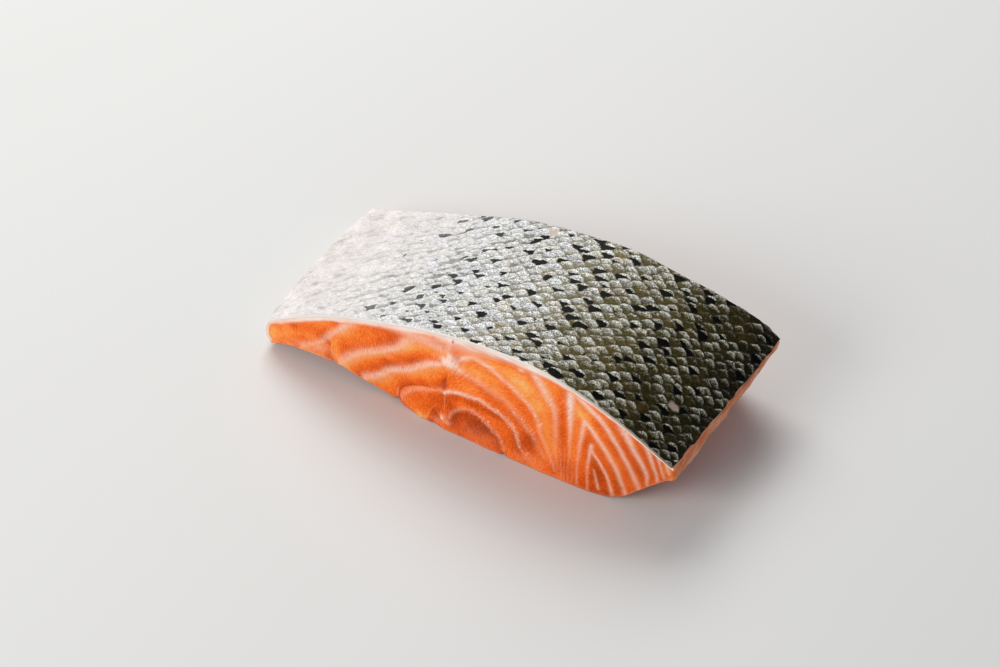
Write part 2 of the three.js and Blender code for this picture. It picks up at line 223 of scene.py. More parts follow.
# ---- The flesh: the pattern on its cut faces. ----
# The seams between the flakes: (x, z) points on a cut face, widths and palenesses spaced evenly along
# the seam, how far it stands out, and how much lighter it makes the flesh to its left and darker that to
# its right, looking along it, partly the flesh's own colour and partly painted light and shade as on a
# ridge.
SEAMS = [
    # Arches over the backbone's side.
    ([(-3.6, 5.5), (-1.6, 9.1), (1.8, 11.6), (5.1, 12.6), (7.5, 11.2), (10.4, 9.6), (13.4, 8),
      (15.7, 5.2), (16.6, 2.5)], (1.2, 1.3), (0.45, 0.4), 0.2, 0.1, 0.5),
    ([(-5.7, 14.4), (-3.2, 16.3), (2.3, 17.5), (7.9, 17.8), (11, 16.6), (14.8, 15.9), (18, 14.2),
      (20, 12.4), (21.3, 9.8), (22.3, 6.5)], (1.6, 1.5), (0.95, 0.5), 0.25, 0.1, 0.35),
    ([(-3, 24.9), (1.2, 25.6), (6.5, 24.3), (11.8, 23.1), (16.8, 21.4), (19.8, 19), (22.6, 16.6),
      (26.8, 12.6), (31, 6)], (3.2, 2.0), (0.55, 0.25), 0.15, 0.2, 0.2),
    ([(-2.6, 29.3), (0.5, 31.2), (4.6, 33), (9.6, 32.1), (13.4, 30.3), (17.6, 28.6), (20.7, 26.8),
      (24, 24.4), (26.8, 21.7), (28.5, 18.6), (30, 14), (32.5, 9), (35, 3)], (2.6, 1.4), (0.9, 0.35),
      0.2, 0.25, 0.1),
    ([(24.5, 39.5), (26.8, 35.5), (29.2, 32), (31.6, 29.2), (33.6, 25.6), (34.4, 20.5), (34.8, 11),
      (36, 4)], (4.0, 0.8), (1.0, 0.2), 0.1, 0.1, 0.15),
    # Chevrons, nested, each with a left leg and a right one.
    ([(39, 36.8), (39, 33), (39.1, 28.5), (39.3, 23), (39.5, 15), (39.7, 5), (39.8, 0)],
      (3.6, 3.0, 1.6, 1.0, 0.8, 0.7), (1.0, 1.0, 0.85, 0.5, 0.25, 0.25), 0.05, 0, 0.15),
    ([(40.5, 35.6), (42, 34.3), (45.6, 32), (49.4, 29.7), (53, 26), (56.4, 21), (59.2, 16.4), (61.7, 12),
      (63.3, 8.3), (64.3, 5.3)], (2.4, 2.2, 2.0, 1.8, 1.7), (0.95, 0.9, 0.85, 0.8, 0.7), -0.05, 0.1, 0.2),
    ([(44.2, 26.3), (43.4, 21), (42.9, 15), (42.6, 9), (42.9, 0)], (2.0, 1.4, 1.0, 0.9),
      (0.9, 0.7, 0.45, 0.4), 0.05, 0, 0),
    ([(44.2, 26.3), (46.7, 24.2), (50, 20.8), (53, 17), (55.8, 13), (57.8, 8.3), (59.4, 3.6), (60, 2)],
      (2.0, 1.9, 1.8, 1.6), (0.9, 0.85, 0.8, 0.7), -0.05, 0.1, 0.25),
    ([(47.2, 18.4), (46.7, 13.6), (46.1, 9.4), (46.4, 4.5), (47, 0)], (1.7, 1.3, 0.9, 1.0),
      (0.9, 0.7, 0.5, 0.5), 0.05, 0, 0),
    ([(47.3, 17.6), (48, 15.4), (49.6, 13.4), (51.4, 10.8), (53.3, 7.2), (55, 1.9), (55.3, 0.5)],
      (1.3, 1.2, 1.3, 1.4), (0.8, 0.85, 0.8, 0.7), -0.05, 0.1, 0.35),
    ([(48.3, 9.2), (49.2, 6), (50.4, 2.4)], (0.7, 1.1), (0.6, 0.75), 0, 0, 0.1),
    # Single seams beyond them.
    ([(57.2, 30.4), (58.6, 27.6), (60, 24.8), (61.4, 22.2), (63.9, 18.2), (65.8, 14.2), (66.3, 10.4)],
      (4.2, 2.4, 2.0, 1.9, 1.2), (0.95, 0.95, 0.9, 0.85, 0.7), -0.05, 0.1, 0.2),
    ([(65.2, 27.6), (66.2, 24), (67.5, 20), (68.9, 16.4), (69.6, 13.6)], (3.2, 1.8, 1.5, 1.3),
      (0.95, 0.9, 0.85, 0.75), -0.05, 0.1, 0.2),
    ([(69, 25.6), (69.9, 22.4), (71.3, 17.6), (71.8, 16.2)], (2.2, 1.2, 1.1), (0.9, 0.8, 0.7),
      0, 0.1, 0.15),
    ([(72, 24), (73.3, 20.4), (73.6, 18.8)], (1.6, 1.2), (0.85, 0.8), 0, 0.1, 0),
    # Faint sinews that fan out between the arches and the chevrons.
    ([(36.2, 16), (36.8, 8), (37.4, 0)], (0.6, 0.6), (0.15, 0.4), 0, 0, 0),
    ([(37.9, 14), (38.1, 8), (38.5, 0)], (0.5, 0.5), (0.15, 0.35), 0, 0, 0),
    ([(41, 12), (41.2, 0)], (0.6, 0.6), (0.15, 0.35), 0, 0, 0),
    ([(35.2, 12), (35.9, 0)], (0.5, 0.5), (0.1, 0.3), 0, 0, 0),
    ([(33.6, 10), (36.5, 0)], (0.5, 0.5), (0.1, 0.3), 0, 0, 0),
    # Long soft seams of the belly muscle.
    ([(-7, 31.2), (-12, 31), (-16.5, 30.6), (-20.5, 28.3), (-23.5, 24.2), (-28.9, 20), (-34.4, 16.7),
      (-38.5, 14), (-42, 11), (-44.5, 8.2), (-46, 6.6)], (3.0, 3.4), (0.8, 0.7), 0.35, 0.55, 0.45),
    ([(-4.5, 26.6), (-7.5, 25.3), (-12.2, 22.8), (-16.4, 19.1), (-20.5, 16.3), (-25.3, 13.4), (-28.3, 11),
      (-31.7, 7.6), (-36.5, 4.6)], (2.6, 3.2), (0.85, 0.75), 0.4, 0.5, 0.5),
    ([(-7, 15), (-11, 13.4), (-15, 11.4), (-18.8, 8.6), (-21.3, 6), (-22.5, 3.5)], (1.6, 1.8),
      (0.45, 0.5), 0, 0.1, 0.35),
    ([(-41.2, 27.2), (-43, 24.2), (-45.5, 20.6), (-48.6, 17.4), (-51.5, 13.8), (-55, 10.2), (-61, 5.8)],
      (4.5, 2.6, 2.2, 3.0), (0.9, 0.75, 0.65, 0.55), 0.2, 0.35, 0.4),
    ([(-49.8, 11.2), (-49.6, 8.8), (-48.6, 6.4), (-47, 5)], (0.6, 0.6), (0.3, 0.5), 0.3, 0.5, 0.4),
    # The middle line between belly and back muscle, with its star of pale tissue and its slit.
    ([(-4.4, 36), (-4.7, 32), (-4, 28)], (2.2, 3.4), (0.8, 1.0), 0.1, 0, 0),
    ([(-4, 27.6), (-1.8, 29.2), (0.4, 31)], (3.0, 1.8), (0.95, 0.7), 0.1, 0, 0),
    ([(-4, 27.4), (-1.5, 26), (1.5, 25.4)], (3.0, 2.4), (0.9, 0.6), 0.1, 0, 0),
    ([(-5.7, 16), (-5.6, 12), (-5.5, 7.4)], (0.4, 0.4), (0.5, 0.4), -0.05, 0, 0.1),
    # Streaks in the fat under the skin.
    ([(-15, 33.4), (-9, 34.2), (-4, 35)], (0.7, 0.7), (0.4, 0.5), 0, 0, 0),
    ([(-1, 33.8), (6, 35), (12, 36)], (0.8, 0.7), (0.5, 0.6), 0, 0, 0),
]
# Soft patches of lighter (above 0) or redder (below 0) flesh: x, z, half width, half height, amount.
TINTS = [
    # The belly, from its edge to the middle line.
    (-72.5, 5.2, 3, 4.5, 0.8), (-69.6, 9.4, 2, 2, -0.35), (-64, 13.3, 1.6, 1.2, -0.6), (-66, 8, 8, 4.5, 0.5),
    (-52, 19, 7, 3, 0.3), (-51.5, 12.8, 2.2, 1.3, -0.9), (-56, 16, 3, 3, 0.1), (-47.3, 8.8, 2.2, 2.5, 0.45),
    (-32, 28, 9, 2.5, -0.5), (-20.5, 25.5, 2.5, 2, 0.6), (-15, 26.5, 6, 1.8, 0.3), (-20, 20, 7, 2, -0.3),
    (-28.3, 15.2, 4, 1.6, -0.5), (-33, 11.5, 5, 2, -0.3), (-13, 18, 6, 2, 0.15), (-41, 8, 3, 3, 0.3),
    # Round the middle line and the flap, with painted shade in the hollow beside the flap.
    (-6.1, 18, 0.9, 2, -0.9), (-9, 11, 4, 4, -0.45), (-14.5, 1.0, 2.4, 2.2, 1.1), (-17, 9, 4, 3, -0.4),
    (-9, 3.2, 1.6, 2.6, -0.8), (-2.5, 9, 2.5, 4, -0.7), (-22, 4, 1.4, 2, -0.2), (-10.8, 0.5, 0.9, 0.8, -1.0),
    # Inside and between the arches.
    (6, 6, 9, 4.5, -0.9), (8, 14.6, 9, 1.5, -0.6), (5, 28, 9, 3, 0.4), (1, 21, 6, 2.5, 0.3),
    (12, 33.5, 9, 2.2, 0.5), (24, 30, 4, 3, 0.4), (25, 9, 5, 4.5, -0.8), (20, 16.5, 4, 2, -0.4),
    # Beside the chevrons and at their feet.
    (31, 34, 4, 2.5, 0.35), (32, 18, 1.5, 5, 0.4), (36.8, 17, 1.5, 9, -0.5), (31, 5, 4, 5, 0.2),
    (41.5, 30, 2, 5, 0.4), (49.5, 8, 2.8, 6, -0.5), (55, 6, 3, 5, -0.2), (52, 31, 4, 1.5, 0.25),
    (54, 18, 10, 9, 0.1), (50, 1, 9, 2.5, -0.4), (72.5, 20.5, 1.2, 1.5, 0.6), (21, 31, 5, 3, 0.8),
    (28.5, 25.5, 4, 4, 0.7), (44, 29, 3.5, 4, 0.9), (39, 4.5, 6, 4, -0.6), (-57, 11.5, 4, 2, 0.5),
]
# Pale blotches: x, z, half width, half height, amount.
BLOTCHES = [
    (-4.4, 27.2, 4.0, 2.1, 1.4), (-54, 8.8, 4, 2.2, 0.6), (-60, 6.2, 5, 1.8, 0.45), (-66, 4, 4, 0.8, 0.35),
    (-50, 4.5, 3, 0.8, 0.5), (-44, 7.8, 1.8, 1.8, 0.45), (-24.4, 4.1, 0.5, 2, 0.5),
    (-22, 4, 1.2, 1.6, 0.35), (-6.1, 4.4, 1.2, 1.3, 1.0), (-4.2, 3, 1.2, 1.0, 0.6),
    (21.2, 36.3, 1.6, 1.1, 0.95), (39, 34.5, 1.7, 2.5, 0.6), (-42.5, 26, 2.2, 1.5, 0.7),
    (-14, 31.8, 7, 1.2, 0.4), (47.3, 15.5, 1.2, 2.2, 0.4), (58.5, 29, 2, 1.6, 0.6), (66, 26, 1.6, 1.6, 0.5),
    (21.8, 8.8, 0.6, 1.2, 0.6), (7, 3.5, 8, 3.5, 0.15), (26, 3, 5, 2, 0.3), (-8.6, 1.6, 1.8, 1.4, 0.4),
]
# Blood-dark spots: x, z, half width, half height, amount.
STAINS = [
    (-1.7, 30.4, 1.5, 1.6, 0.5), (-6.1, 17.4, 0.5, 1.1, 0.6),
    (-3.5, 35.7, 0.4, 0.7, 1.0), (13.7, 37.3, 4.5, 0.35, 0.5), (4, 36.6, 4, 0.4, 0.35),
    (-10.8, 0.5, 0.6, 0.6, 0.6), (-23.6, 2.2, 0.4, 0.7, 0.6), (-47.4, 5.3, 0.35, 1.0, 0.5),
]
# Stretches with painted highlights where beads of juice glisten, as (x, z) points.
WET_HIGHLIGHT_LINES = [
    [(21, 26.6), (26, 22.7), (28.6, 19.4), (29.4, 16.5)], [(18, 21), (23.5, 16.8), (28.2, 11.6)],
    [(0, 16.8), (8, 17.2), (16, 15.6), (20.6, 11.5), (22, 7)], [(3, 11.6), (9, 10.5), (13, 8), (16.4, 4.6)],
    [(30, 29.2), (33, 26.4)], [(-7, 4.6), (-5.2, 3.4)], [(22, 6.8), (25.5, 4.5)],
    [(19.2, 19.4), (20.4, 18.2)], [(17.4, 12.9), (19.4, 12.5)],
]
# How deep the fat under the skin is white, and how deep it is pink, along x.
FAT_WHITE = [
    (-75, 0.3), (-73, 0.6), (-70, 1.3), (-40, 1.4), (-25, 1.2), (-12, 1.4), (-2, 1.9), (4, 2.1), (9, 1.9),
    (15, 1.6), (25, 1.3), (30, 0.9), (40, 0.7), (50, 0.5), (76, 0.2),
]
FAT_PINK = [
    (-75, 0.6), (-73, 1.2), (-70, 2.4), (-62, 2.3), (-56, 2.0), (-40, 2.2), (-30, 2.6), (-22, 4), (-14, 5.8),
    (-4, 6.5), (2, 5.6), (8, 4.6), (15, 3.2), (25, 3), (32, 2), (45, 1.4), (76, 0.6),
]
WHITE_FAT, PINK_FAT = 0.45, 0.48  # how much each of the two adds to the paleness
FAT_STREAKS = 0.14  # how much streaks add to the pink
# How pale the foot of a cut face is, along x, and how far up.
PALE_FOOT = [
    (-75, 0.4), (-55, 0.55), (-46, 0.4), (-30, 0.2), (0, 0.15), (20, 0.35), (50, 0.35), (60, 0.5), (75, 0.5),
]
PALE_FOOT_HEIGHT = 0.7
WANDER = 0.3  # how far seams and fat stray from their lines
SEAM_SOFTNESS, SEAM_FALL = 0.7, 2.4  # how early and how steeply a seam fades within its half width
# The lighter and darker flesh beside a seam, partly its own colour and partly painted light and shade:
# how far from it it is strongest, half its width, and how far out it ends.
SIDE_SHADING_PLACE, SIDE_SHADING_WIDTH, SIDE_SHADING_END = 1.5, 2.4, 8
BACK_DARKENING, DARKENING_FADE = 0.25, (40, 62)  # painted shade: how much darker and redder the back's flesh gets, and from where to where
RELIEF_DEPTH = 1.5  # how far under the skin the relief of the flesh has grown to its full height

# The loose flap on the front cut face, an outline closed on itself. It grows out of the face between
# the two x of `root`.
FLAP = dict(
    outline=[(-7, 14.6), (-12.2, 13.6), (-15, 12.4), (-19.4, 9.9), (-22.2, 7.2), (-23.3, 4.6),
             (-22.8, 2.2), (-20, 1.4), (-17.2, 0.8), (-15.2, -0.8), (-13.2, -0.8), (-11.5, 1.9),
             (-10.5, 4.7), (-8.9, 6.8), (-6.6, 8.5)],
    rise=0.6, shoulder=2.0, root=(-14, -6),
)
# The hollow beside the flap and the knob of gristle in it: x, z, half width, half height, height.
FRONT_BUMPS = [(-8.6, 2.8, 1.9, 3.2, -0.8), (-6.1, 4.4, 1.1, 1.1, 0.9)]
SLIT = dict(line=[(-5.2, 21.8), (-5.6, 19), (-5.8, 16.2)], width=0.2, depth=0.2)
# Nicks that the seams leave in the underside: x, depth, half width.
NICKS = [(-48, 1.4, 1.0), (-24, 1.7, 0.9), (17, 1.2, 0.9)]
NICK_SLANT = 9.0  # how much nearer to the back edge they lie on the back cut face

# The seams under the portion zigzag from these places: x, and the count of seams passed there.
UNDER_SEAMS = [
    (-75, 4.6), (-59, 3), (-46.5, 2), (-37.5, 1), (-23, 0), (-6, -0.6), (3, -0.3), (16.5, 0),
    (22, 1), (31, 2), (35, 3), (36.5, 4), (39.6, 5), (42.8, 4), (46.8, 3), (50.5, 2),
    (55.2, 3), (60, 4), (63, 5), (66.6, 6), (71, 7), (76, 8.4),
]
UNDER_SEAM_PITCH = (BACK_Y - FRONT_Y) / 7  # so that they meet the same seams on both cut faces
UNDER_SEAM_WIDTH = (0.6, 0.7)  # half the width of a seam along Y, and how much more one along X has
MIDDLE_X, MIDDLE_WIDTH = -6, 1.2  # the middle line between belly and back muscle, and half its width
BELLY_LINING = (-58, -74)  # from where to where the pale lining of the belly comes in
FOOT_RAGGED = 0.35  # how far the lower edge wanders up and down
END_LIP = 1.1  # how far the strip of flesh at the back edge stands out past the skin
LIP_RISE = 0.6  # how far it swells up beside the skin
END_DROP = 1.0  # how far it hangs below the bevel at its front end
END_WIDTH = 2.5  # how broad that drop is
END_FROM = 0.985  # the share of the flesh's length where the strip starts


def from_oval(x, z, middle_x, middle_z, half_width, half_height):
    """Distance from the middle of an oval, 1 on its outline."""
    return np.hypot((x - middle_x) / half_width, (z - middle_z) / half_height)


def spots(x, z, table):
    """The sum of soft oval spots."""
    return sum(amount * hump(from_oval(x, z, *oval), 1) for *oval, amount in table)


def near_chain(x, z, chain):
    """Distance to a chain of points, how far along it from 0 to 1, and the side: above 0 on its left."""
    best = np.full(x.shape, np.inf)
    along, side = np.zeros_like(x), np.zeros_like(x)
    for k, ((x0, z0), (x1, z1)) in enumerate(zip(chain, chain[1:])):
        step_x, step_z = x1 - x0, z1 - z0
        share = np.clip(((x - x0) * step_x + (z - z0) * step_z) / (step_x**2 + step_z**2), 0, 1)
        off_x, off_z = x - x0 - share * step_x, z - z0 - share * step_z
        distance = np.hypot(off_x, off_z)
        closer = distance < best
        best = np.where(closer, distance, best)
        along = np.where(closer, k + share, along)
        side = np.where(closer, step_x * off_z - step_z * off_x, side)
    return best, along / (len(chain) - 1), side


def near_line(x, z, points, count=30):
    """The same for a smooth line through a few points."""
    return near_chain(x, z, spline(points, count))


def under_skin(x, z, back):
    """How far points on a cut face lie from the skin's inner side."""
    share = np.linspace(FLESH_ENDS[0], SKIN_LINE_END, 150)
    return near_chain(x, z, np.column_stack(skin_point(share, skin_thickness(share), back)))[0]


def spread(values, along):
    """A few values spaced evenly along a line, read at places from 0 to 1 on it."""
    return np.interp(along, np.linspace(0, 1, len(values)), values)


def inside(x, z, outline):
    """Distance into a closed outline, below 0 outside it."""
    loop = spline(outline + outline[:1], 90)
    distance = np.full(x.shape, np.inf)
    crossings = np.zeros(x.shape, int)
    for (x0, z0), (x1, z1) in zip(loop, np.roll(loop, -1, axis=0)):
        distance = np.minimum(distance, np.hypot(x - x0, z - z0))
        straddles = (z0 > z) != (z1 > z)
        if z0 != z1:
            crossings += straddles & (x < x0 + (z - z0) * (x1 - x0) / (z1 - z0))
    return np.where(crossings % 2 == 1, distance, -distance)


def wet_highlights(x, z):
    """Where the cut face gets painted highlights of glistening juice, strongest along the arches."""
    wet_highlight = np.zeros_like(x)
    for line in WET_HIGHLIGHT_LINES:
        distance, along, _ = near_line(x, z, line)
        wet_highlight = np.maximum(wet_highlight, hump(distance, 1.1) * smoothstep(along * (1 - along), 0, 0.1))
    return wet_highlight


def seam_pattern(x, z):
    """How pale the seams make a cut face, how they tint it and how far they stand out of it."""
    wobble_x = x + WANDER * value_noise(x, z, 3, 4.0)
    wobble_z = z + WANDER * value_noise(x, z, 4, 4.0)
    seam, tone, relief = (np.zeros_like(x) for _ in range(3))
    for points, widths, paleness, ridge, light, dark in SEAMS:
        distance, along, side = near_line(wobble_x, wobble_z, points)
        half_width = spread(widths, along) / 2
        faded = np.exp(-SEAM_SOFTNESS * (distance / half_width) ** SEAM_FALL)
        seam = np.maximum(seam, spread(paleness, along) * faded)
        # Lighter flesh on the seam's left and darker on its right, partly own colour, partly painted light
        # and shade.
        tint = np.where(side > 0, light, -dark) * (distance < SIDE_SHADING_END)
        tone += tint * hump(distance - SIDE_SHADING_PLACE, SIDE_SHADING_WIDTH)
        relief += ridge * hump(distance, 1.2 * half_width + 0.3)
    return seam, tone, relief


def fat_layer(x, z, deep):
    """The fat under the skin, white above a streaky pink that fades into the flesh."""
    white, pink = straight(FAT_WHITE, x), straight(FAT_PINK, x)
    ragged = deep + WANDER * value_noise(x, z, 5, 1.8)
    streak = value_noise(0.2 * x, deep, 18, 0.8)
    fat = WHITE_FAT * (1 - smoothstep(ragged, 0.5 * white, 1.3 * white + 0.3))
    below = smoothstep(deep + 0.15 * pink * streak, 0.4 * pink, 1.25 * pink)
    return fat + (PINK_FAT + FAT_STREAKS * streak) * (1 - below)


def cut_face(x, z, back):
    """The pattern of a cut face, the front one at `back` 0 and the back one at 1."""
    deep = under_skin(x, z, back)
    seam, tone, relief = seam_pattern(x, z)
    # The back's flesh is darkened, a painted shade of the light falling off towards the back.
    tone += spots(x, z, TINTS) - BACK_DARKENING * smoothstep(x, *DARKENING_FADE)
    relief += 0.12 * value_noise(x, z, 6, 5) + 0.06 * value_noise(x, z, 7, 1.3)
    seam = np.maximum(seam, np.clip(spots(x, z, BLOTCHES), 0, 1.3))
    seam = np.maximum(seam, hump(z - raised(UNDERSIDE, x), PALE_FOOT_HEIGHT) * straight(PALE_FOOT, x))
    if back == 0:
        seam, tone, relief = with_front_details(x, z, seam, tone, relief)
    return dict(seam=seam, tone=tone, fat=fat_layer(x, z, deep), stain=np.clip(spots(x, z, STAINS), 0, 1),
                wet_highlight=wet_highlights(x, z), relief=relief * smoothstep(deep, 0, RELIEF_DEPTH))


def with_front_details(x, z, seam, tone, relief):
    """Adds what only the front cut face has: the flap, the hollow and knob beside it and the slit."""
    into = inside(x, z, FLAP["outline"])
    loose = 1 - smoothstep(x, *FLAP["root"])
    # A painted shadow in a thin line round the outside of the flap, and a painted highlight along its edge.
    rim, flap_shadow = hump(into - 0.5, 0.5) * loose, hump(into + 0.25, 0.25) * loose
    slit = hump(near_line(x, z, SLIT["line"])[0], SLIT["width"])
    seam = np.maximum(seam * (1 - flap_shadow), 0.2 * rim) * (1 - slit)
    tone = tone - 0.5 * flap_shadow + 0.4 * rim - 0.4 * slit
    relief = relief + FLAP["rise"] * loose * smoothstep(into, -0.1, FLAP["shoulder"])
    return seam, tone, relief + spots(x, z, FRONT_BUMPS) - SLIT["depth"] * slit


def fibre_grid(x, z):
    """Millimetres across and along the muscle fibres of a cut face. They stand upright in the belly
    and lean ever more towards the back."""
    lean = math.radians(38) * smoothstep(x, -15, 25) * smoothstep(z, 5, 25)
    return np.stack([x * np.cos(lean) - z * np.sin(lean), x * np.sin(lean) + z * np.cos(lean), 0 * x], -1)


def underside(x, y, deep):
    """The pattern underneath, where the seams run in zigzags."""
    phase = straight(UNDER_SEAMS, x) + (y - FRONT_Y) / UNDER_SEAM_PITCH + 0.12 * value_noise(x, y, 8, 6)
    legs = zip(UNDER_SEAMS, UNDER_SEAMS[1:])
    slope = straight([(a, abs(q - p) / (b - a)) for (a, p), (b, q) in legs], x)
    steepness = np.hypot(slope, 1 / UNDER_SEAM_PITCH)
    distance = abs(phase - np.round(phase)) / steepness
    # A seam is broadest where it runs from side to side.
    half_width = UNDER_SEAM_WIDTH[0] + UNDER_SEAM_WIDTH[1] / UNDER_SEAM_PITCH / steepness
    middle = hump(x - MIDDLE_X, MIDDLE_WIDTH)
    tone = -0.35 + 0.4 * value_noise(x, y, 9, 9) + 0.3 * smoothstep(x, -30, -70)
    groove = -0.3 * hump(distance, 1.2 * half_width) - 0.4 * middle - 0.15 * value_noise(x, y, 10, 3)
    return dict(seam=np.maximum(0.8 * hump(distance, half_width), 0.5 * middle), tone=tone,
                fat=0.75 * smoothstep(x, *BELLY_LINING), fibre=fibre_grid(x, y),
                relief=groove * smoothstep(deep, 0, RELIEF_DEPTH))


def back_end(y, deep):
    """The pattern of the thin strip of flesh under the skin at the back edge."""
    streak = value_noise(y + 1.2 * deep, 0.5 * deep, 12, 1.8)
    tone = 0.3 + 0.4 * value_noise(y, deep, 13, 5)
    ragged = 0.5 + 0.35 * value_noise(y, 0 * y, 14, 5) + 0.15 * value_noise(y, 0 * y, 16, 1.6)
    return dict(seam=np.clip(0.45 + 0.5 * streak, 0, 1), tone=tone, fat=0.4 * hump(deep, 0.5),
                relief=END_LIP * ragged * smoothstep(deep, 0, 0.5))


# ---- The flesh: its mesh, a block whose six sides are bent into shape. ----
FLESH_STEPS = (340, 50, 82)  # along, across and up
FLESH_GATHER = 1.15  # above 1, steps crowd towards the belly edge
FLESH_ENDS = (0.004, SKIN_LINE_END)  # the shares of the skin's line that it lies between
FLAT_BELOW = 0.05  # where the underside lies lower than this, it rests on the ground
CLEARANCE = 0.02  # how far all the rest of it stays above the ground
# Where each side lies in the bake's square: left, bottom, right, top.
FLESH_ROOM = dict(
    front=(0.005, 0.005, 0.995, 0.27), back=(0.005, 0.28, 0.995, 0.545),
    under=(0.005, 0.555, 0.995, 0.90), top=(0.005, 0.91, 0.6, 0.94),
    end=(0.005, 0.955, 0.6, 0.995), belly=(0.62, 0.91, 0.99, 0.94),
)


def block_surface(steps):
    """The corners of a block's surface: for each side the grid of their numbers, and for each corner
    its place in the block, as three shares."""
    shape = tuple(n + 1 for n in steps)
    places = np.stack(np.meshgrid(*[np.arange(n) for n in shape], indexing="ij"), -1)
    surface = ((places == 0) | (places == np.array(steps))).any(axis=-1)
    number = np.full(shape, -1)
    number[surface] = np.arange(surface.sum())
    sides = dict(
        front=number[:, 0, :], back=number[::-1, -1, :], under=number[:, ::-1, 0],
        top=number[:, :, -1], end=number[-1, :, :], belly=number[0, ::-1, :],
    )
    return sides, places[surface] / np.array(steps)


def face_corners(grid):
    """What a grid holds at the four corners of each of its faces."""
    corners = [grid[:-1, :-1], grid[1:, :-1], grid[1:, 1:], grid[:-1, 1:]]
    return np.stack([corner.reshape(-1, *grid.shape[2:]) for corner in corners], 1)


def room_uvs(shape, room):
    """UVs of a grid's faces inside a rectangle of the bake's square."""
    left, bottom, right, top = room
    across, up = np.linspace(left, right, shape[0]), np.linspace(bottom, top, shape[1])
    return face_corners(np.stack(np.meshgrid(across, up, indexing="ij"), -1))


def nicked(x, back):
    """How far the underside is nicked upwards."""
    slanted = x - NICK_SLANT * back
    return sum(deep * hump(slanted - at, width) for at, deep, width in NICKS) * (1 - 0.5 * back)


def flesh_form(share, back, up):
    """Plain places of the block's corners, before the pattern's relief."""
    top_share = blend(*FLESH_ENDS, share**FLESH_GATHER)
    lip = LIP_RISE * smoothstep(share, END_FROM, 0.995)
    top_x, top_z = skin_point(top_share, skin_thickness(top_share) - TUCK - lip, back)
    top_x = blend(top_x, BACK_X, smoothstep(share, END_FROM, 1.0))
    foot_x = blend(UNDERSIDE[0][0] + SKIN, BACK_X, share)
    foot_z = underside_height(foot_x, back)
    ragged = FOOT_RAGGED * value_noise(foot_x, 30 * back, 15, 3.5) * smoothstep(foot_z, 0, 2)
    foot_z = foot_z + nicked(foot_x, back) + ragged
    foot_z -= END_DROP * (1 - 0.6 * back) * smoothstep(foot_x, BACK_X - END_WIDTH, BACK_X)
    x, z = blend(foot_x, top_x, up), blend(foot_z, top_z, up)
    return x, blend(front_face(x, up), back_face(x, up), back), z, top_z


def flesh_patterns(x, y, z, deep, sides):
    """Masks of the flesh, and how far the relief moves its corners."""
    masks = {name: np.zeros_like(x) for name in ("seam", "tone", "fat", "stain", "wet_highlight")}
    masks["fibre"] = fibre_grid(x, z)
    move = np.zeros((len(x), 3))
    # Later sides win the corners that they share with earlier ones.
    patterns = [
        ("top", (0, 0, 1), lambda n: back_end(y[n], 0 * y[n])),
        ("under", (0, 0, -1), lambda n: underside(x[n], y[n], deep[n])),
        ("end", (1, 0, 0), lambda n: back_end(y[n], deep[n])),
        ("back", (0, 1, 0), lambda n: cut_face(x[n], z[n], 1)),
        ("front", (0, -1, 0), lambda n: cut_face(x[n], z[n], 0)),
    ]
    for name, outwards, pattern in patterns:
        numbers = np.unique(sides[name])
        found = pattern(numbers)
        move[numbers] = np.outer(found.pop("relief"), outwards)
        for mask, values in found.items():
            masks[mask][numbers] = values
    return masks, move


def dress_flesh():
    sides, places = block_surface(FLESH_STEPS)
    share, back, up = places.T
    x, y, z, top_z = flesh_form(share, back, up)
    masks, move = flesh_patterns(x, y, z, np.maximum(top_z - z, 0), sides)
    x, y, z = (np.stack([x, y, z], -1) + move).T
    resting = (underside_height(x, back) < FLAT_BELOW) & (up == 0)
    points = np.stack([x, y, np.maximum(z, np.where(resting, 0, CLEARANCE))], -1)
    faces = np.vstack([face_corners(sides[name]) for name in FLESH_ROOM])
    uvs = np.vstack([room_uvs(sides[name].shape, room) for name, room in FLESH_ROOM.items()])
    return make_piece("salmon_flesh", points, faces, uvs, masks, flesh_material())


# ---- The skin: staggered, overlapping scales. ----
SKIN_STEPS = (436, 210)  # along and across
LINING_STEPS = (218, 12)
SKIN_SHORT = (1.6, 0.7)  # how much sooner than the flesh it ends at the back edge, in front and far back
SCALE_WIDTH = [(0, 5.8), (120, 5.8), (165, 4.7), (200, 4.4)]  # (mm along the skin's line, width)
SCALE_PITCH = 2.25  # from one row to the next
SCALE_REACH = 6.5  # a scale's whole length, most of it under the scales ahead of it
SCALE_ROUND = 2.1  # how far a scale's tip stands past the ends of its rim
SCALE_POINT = 1.7  # 2 for a round rim, 1 for a pointed one
SCALE_TILT = [(0, 1.1), (55, 1.0), (90, 0.3), (115, 0)]  # (mm along that line, tilt of a rim's end in mm)
SCALE_RISE = 0.34  # how high a scale's rim stands
SCALE_STRAY = (0.17, 0.5)  # how far a scale strays from its place: widths along, and mm across
SCALE_FADE = (-50, 30)  # the scales come out of the smooth belly between these x
RELIEF_FADE = (0, 58)  # and their relief between these
RAGGED = 0.26  # how far the rims wander
WRINKLE = 0.1  # how high the wrinkles of the belly skin stand
# How far the silver of a scale reaches behind its tip, how dull the dullest scales are, and how many
# scales have a black foot.
SILVER_REACH = [(-75, 3.4), (-10, 3.5), (15, 3.4), (35, 2.9), (55, 2.2), (75, 1.9)]
DULLEST = [(-75, 0.85), (-30, 0.8), (0, 0.7), (30, 0.52), (45, 0.28), (60, 0.15), (75, 0.08)]
SPOT_RATE = [(-52, 0), (-44, 0.07), (-30, 0.16), (-20, 0.28), (10, 0.3), (35, 0.3), (50, 0.24), (62, 0.17),
             (75, 0.1)]
SPOT_TOP = 1.0  # the least that a black foot lies behind its scale's tip
SILVER_ROUND, SILVER_POINT = 2.4, 1.35  # the silver's outline, a little inside the rim
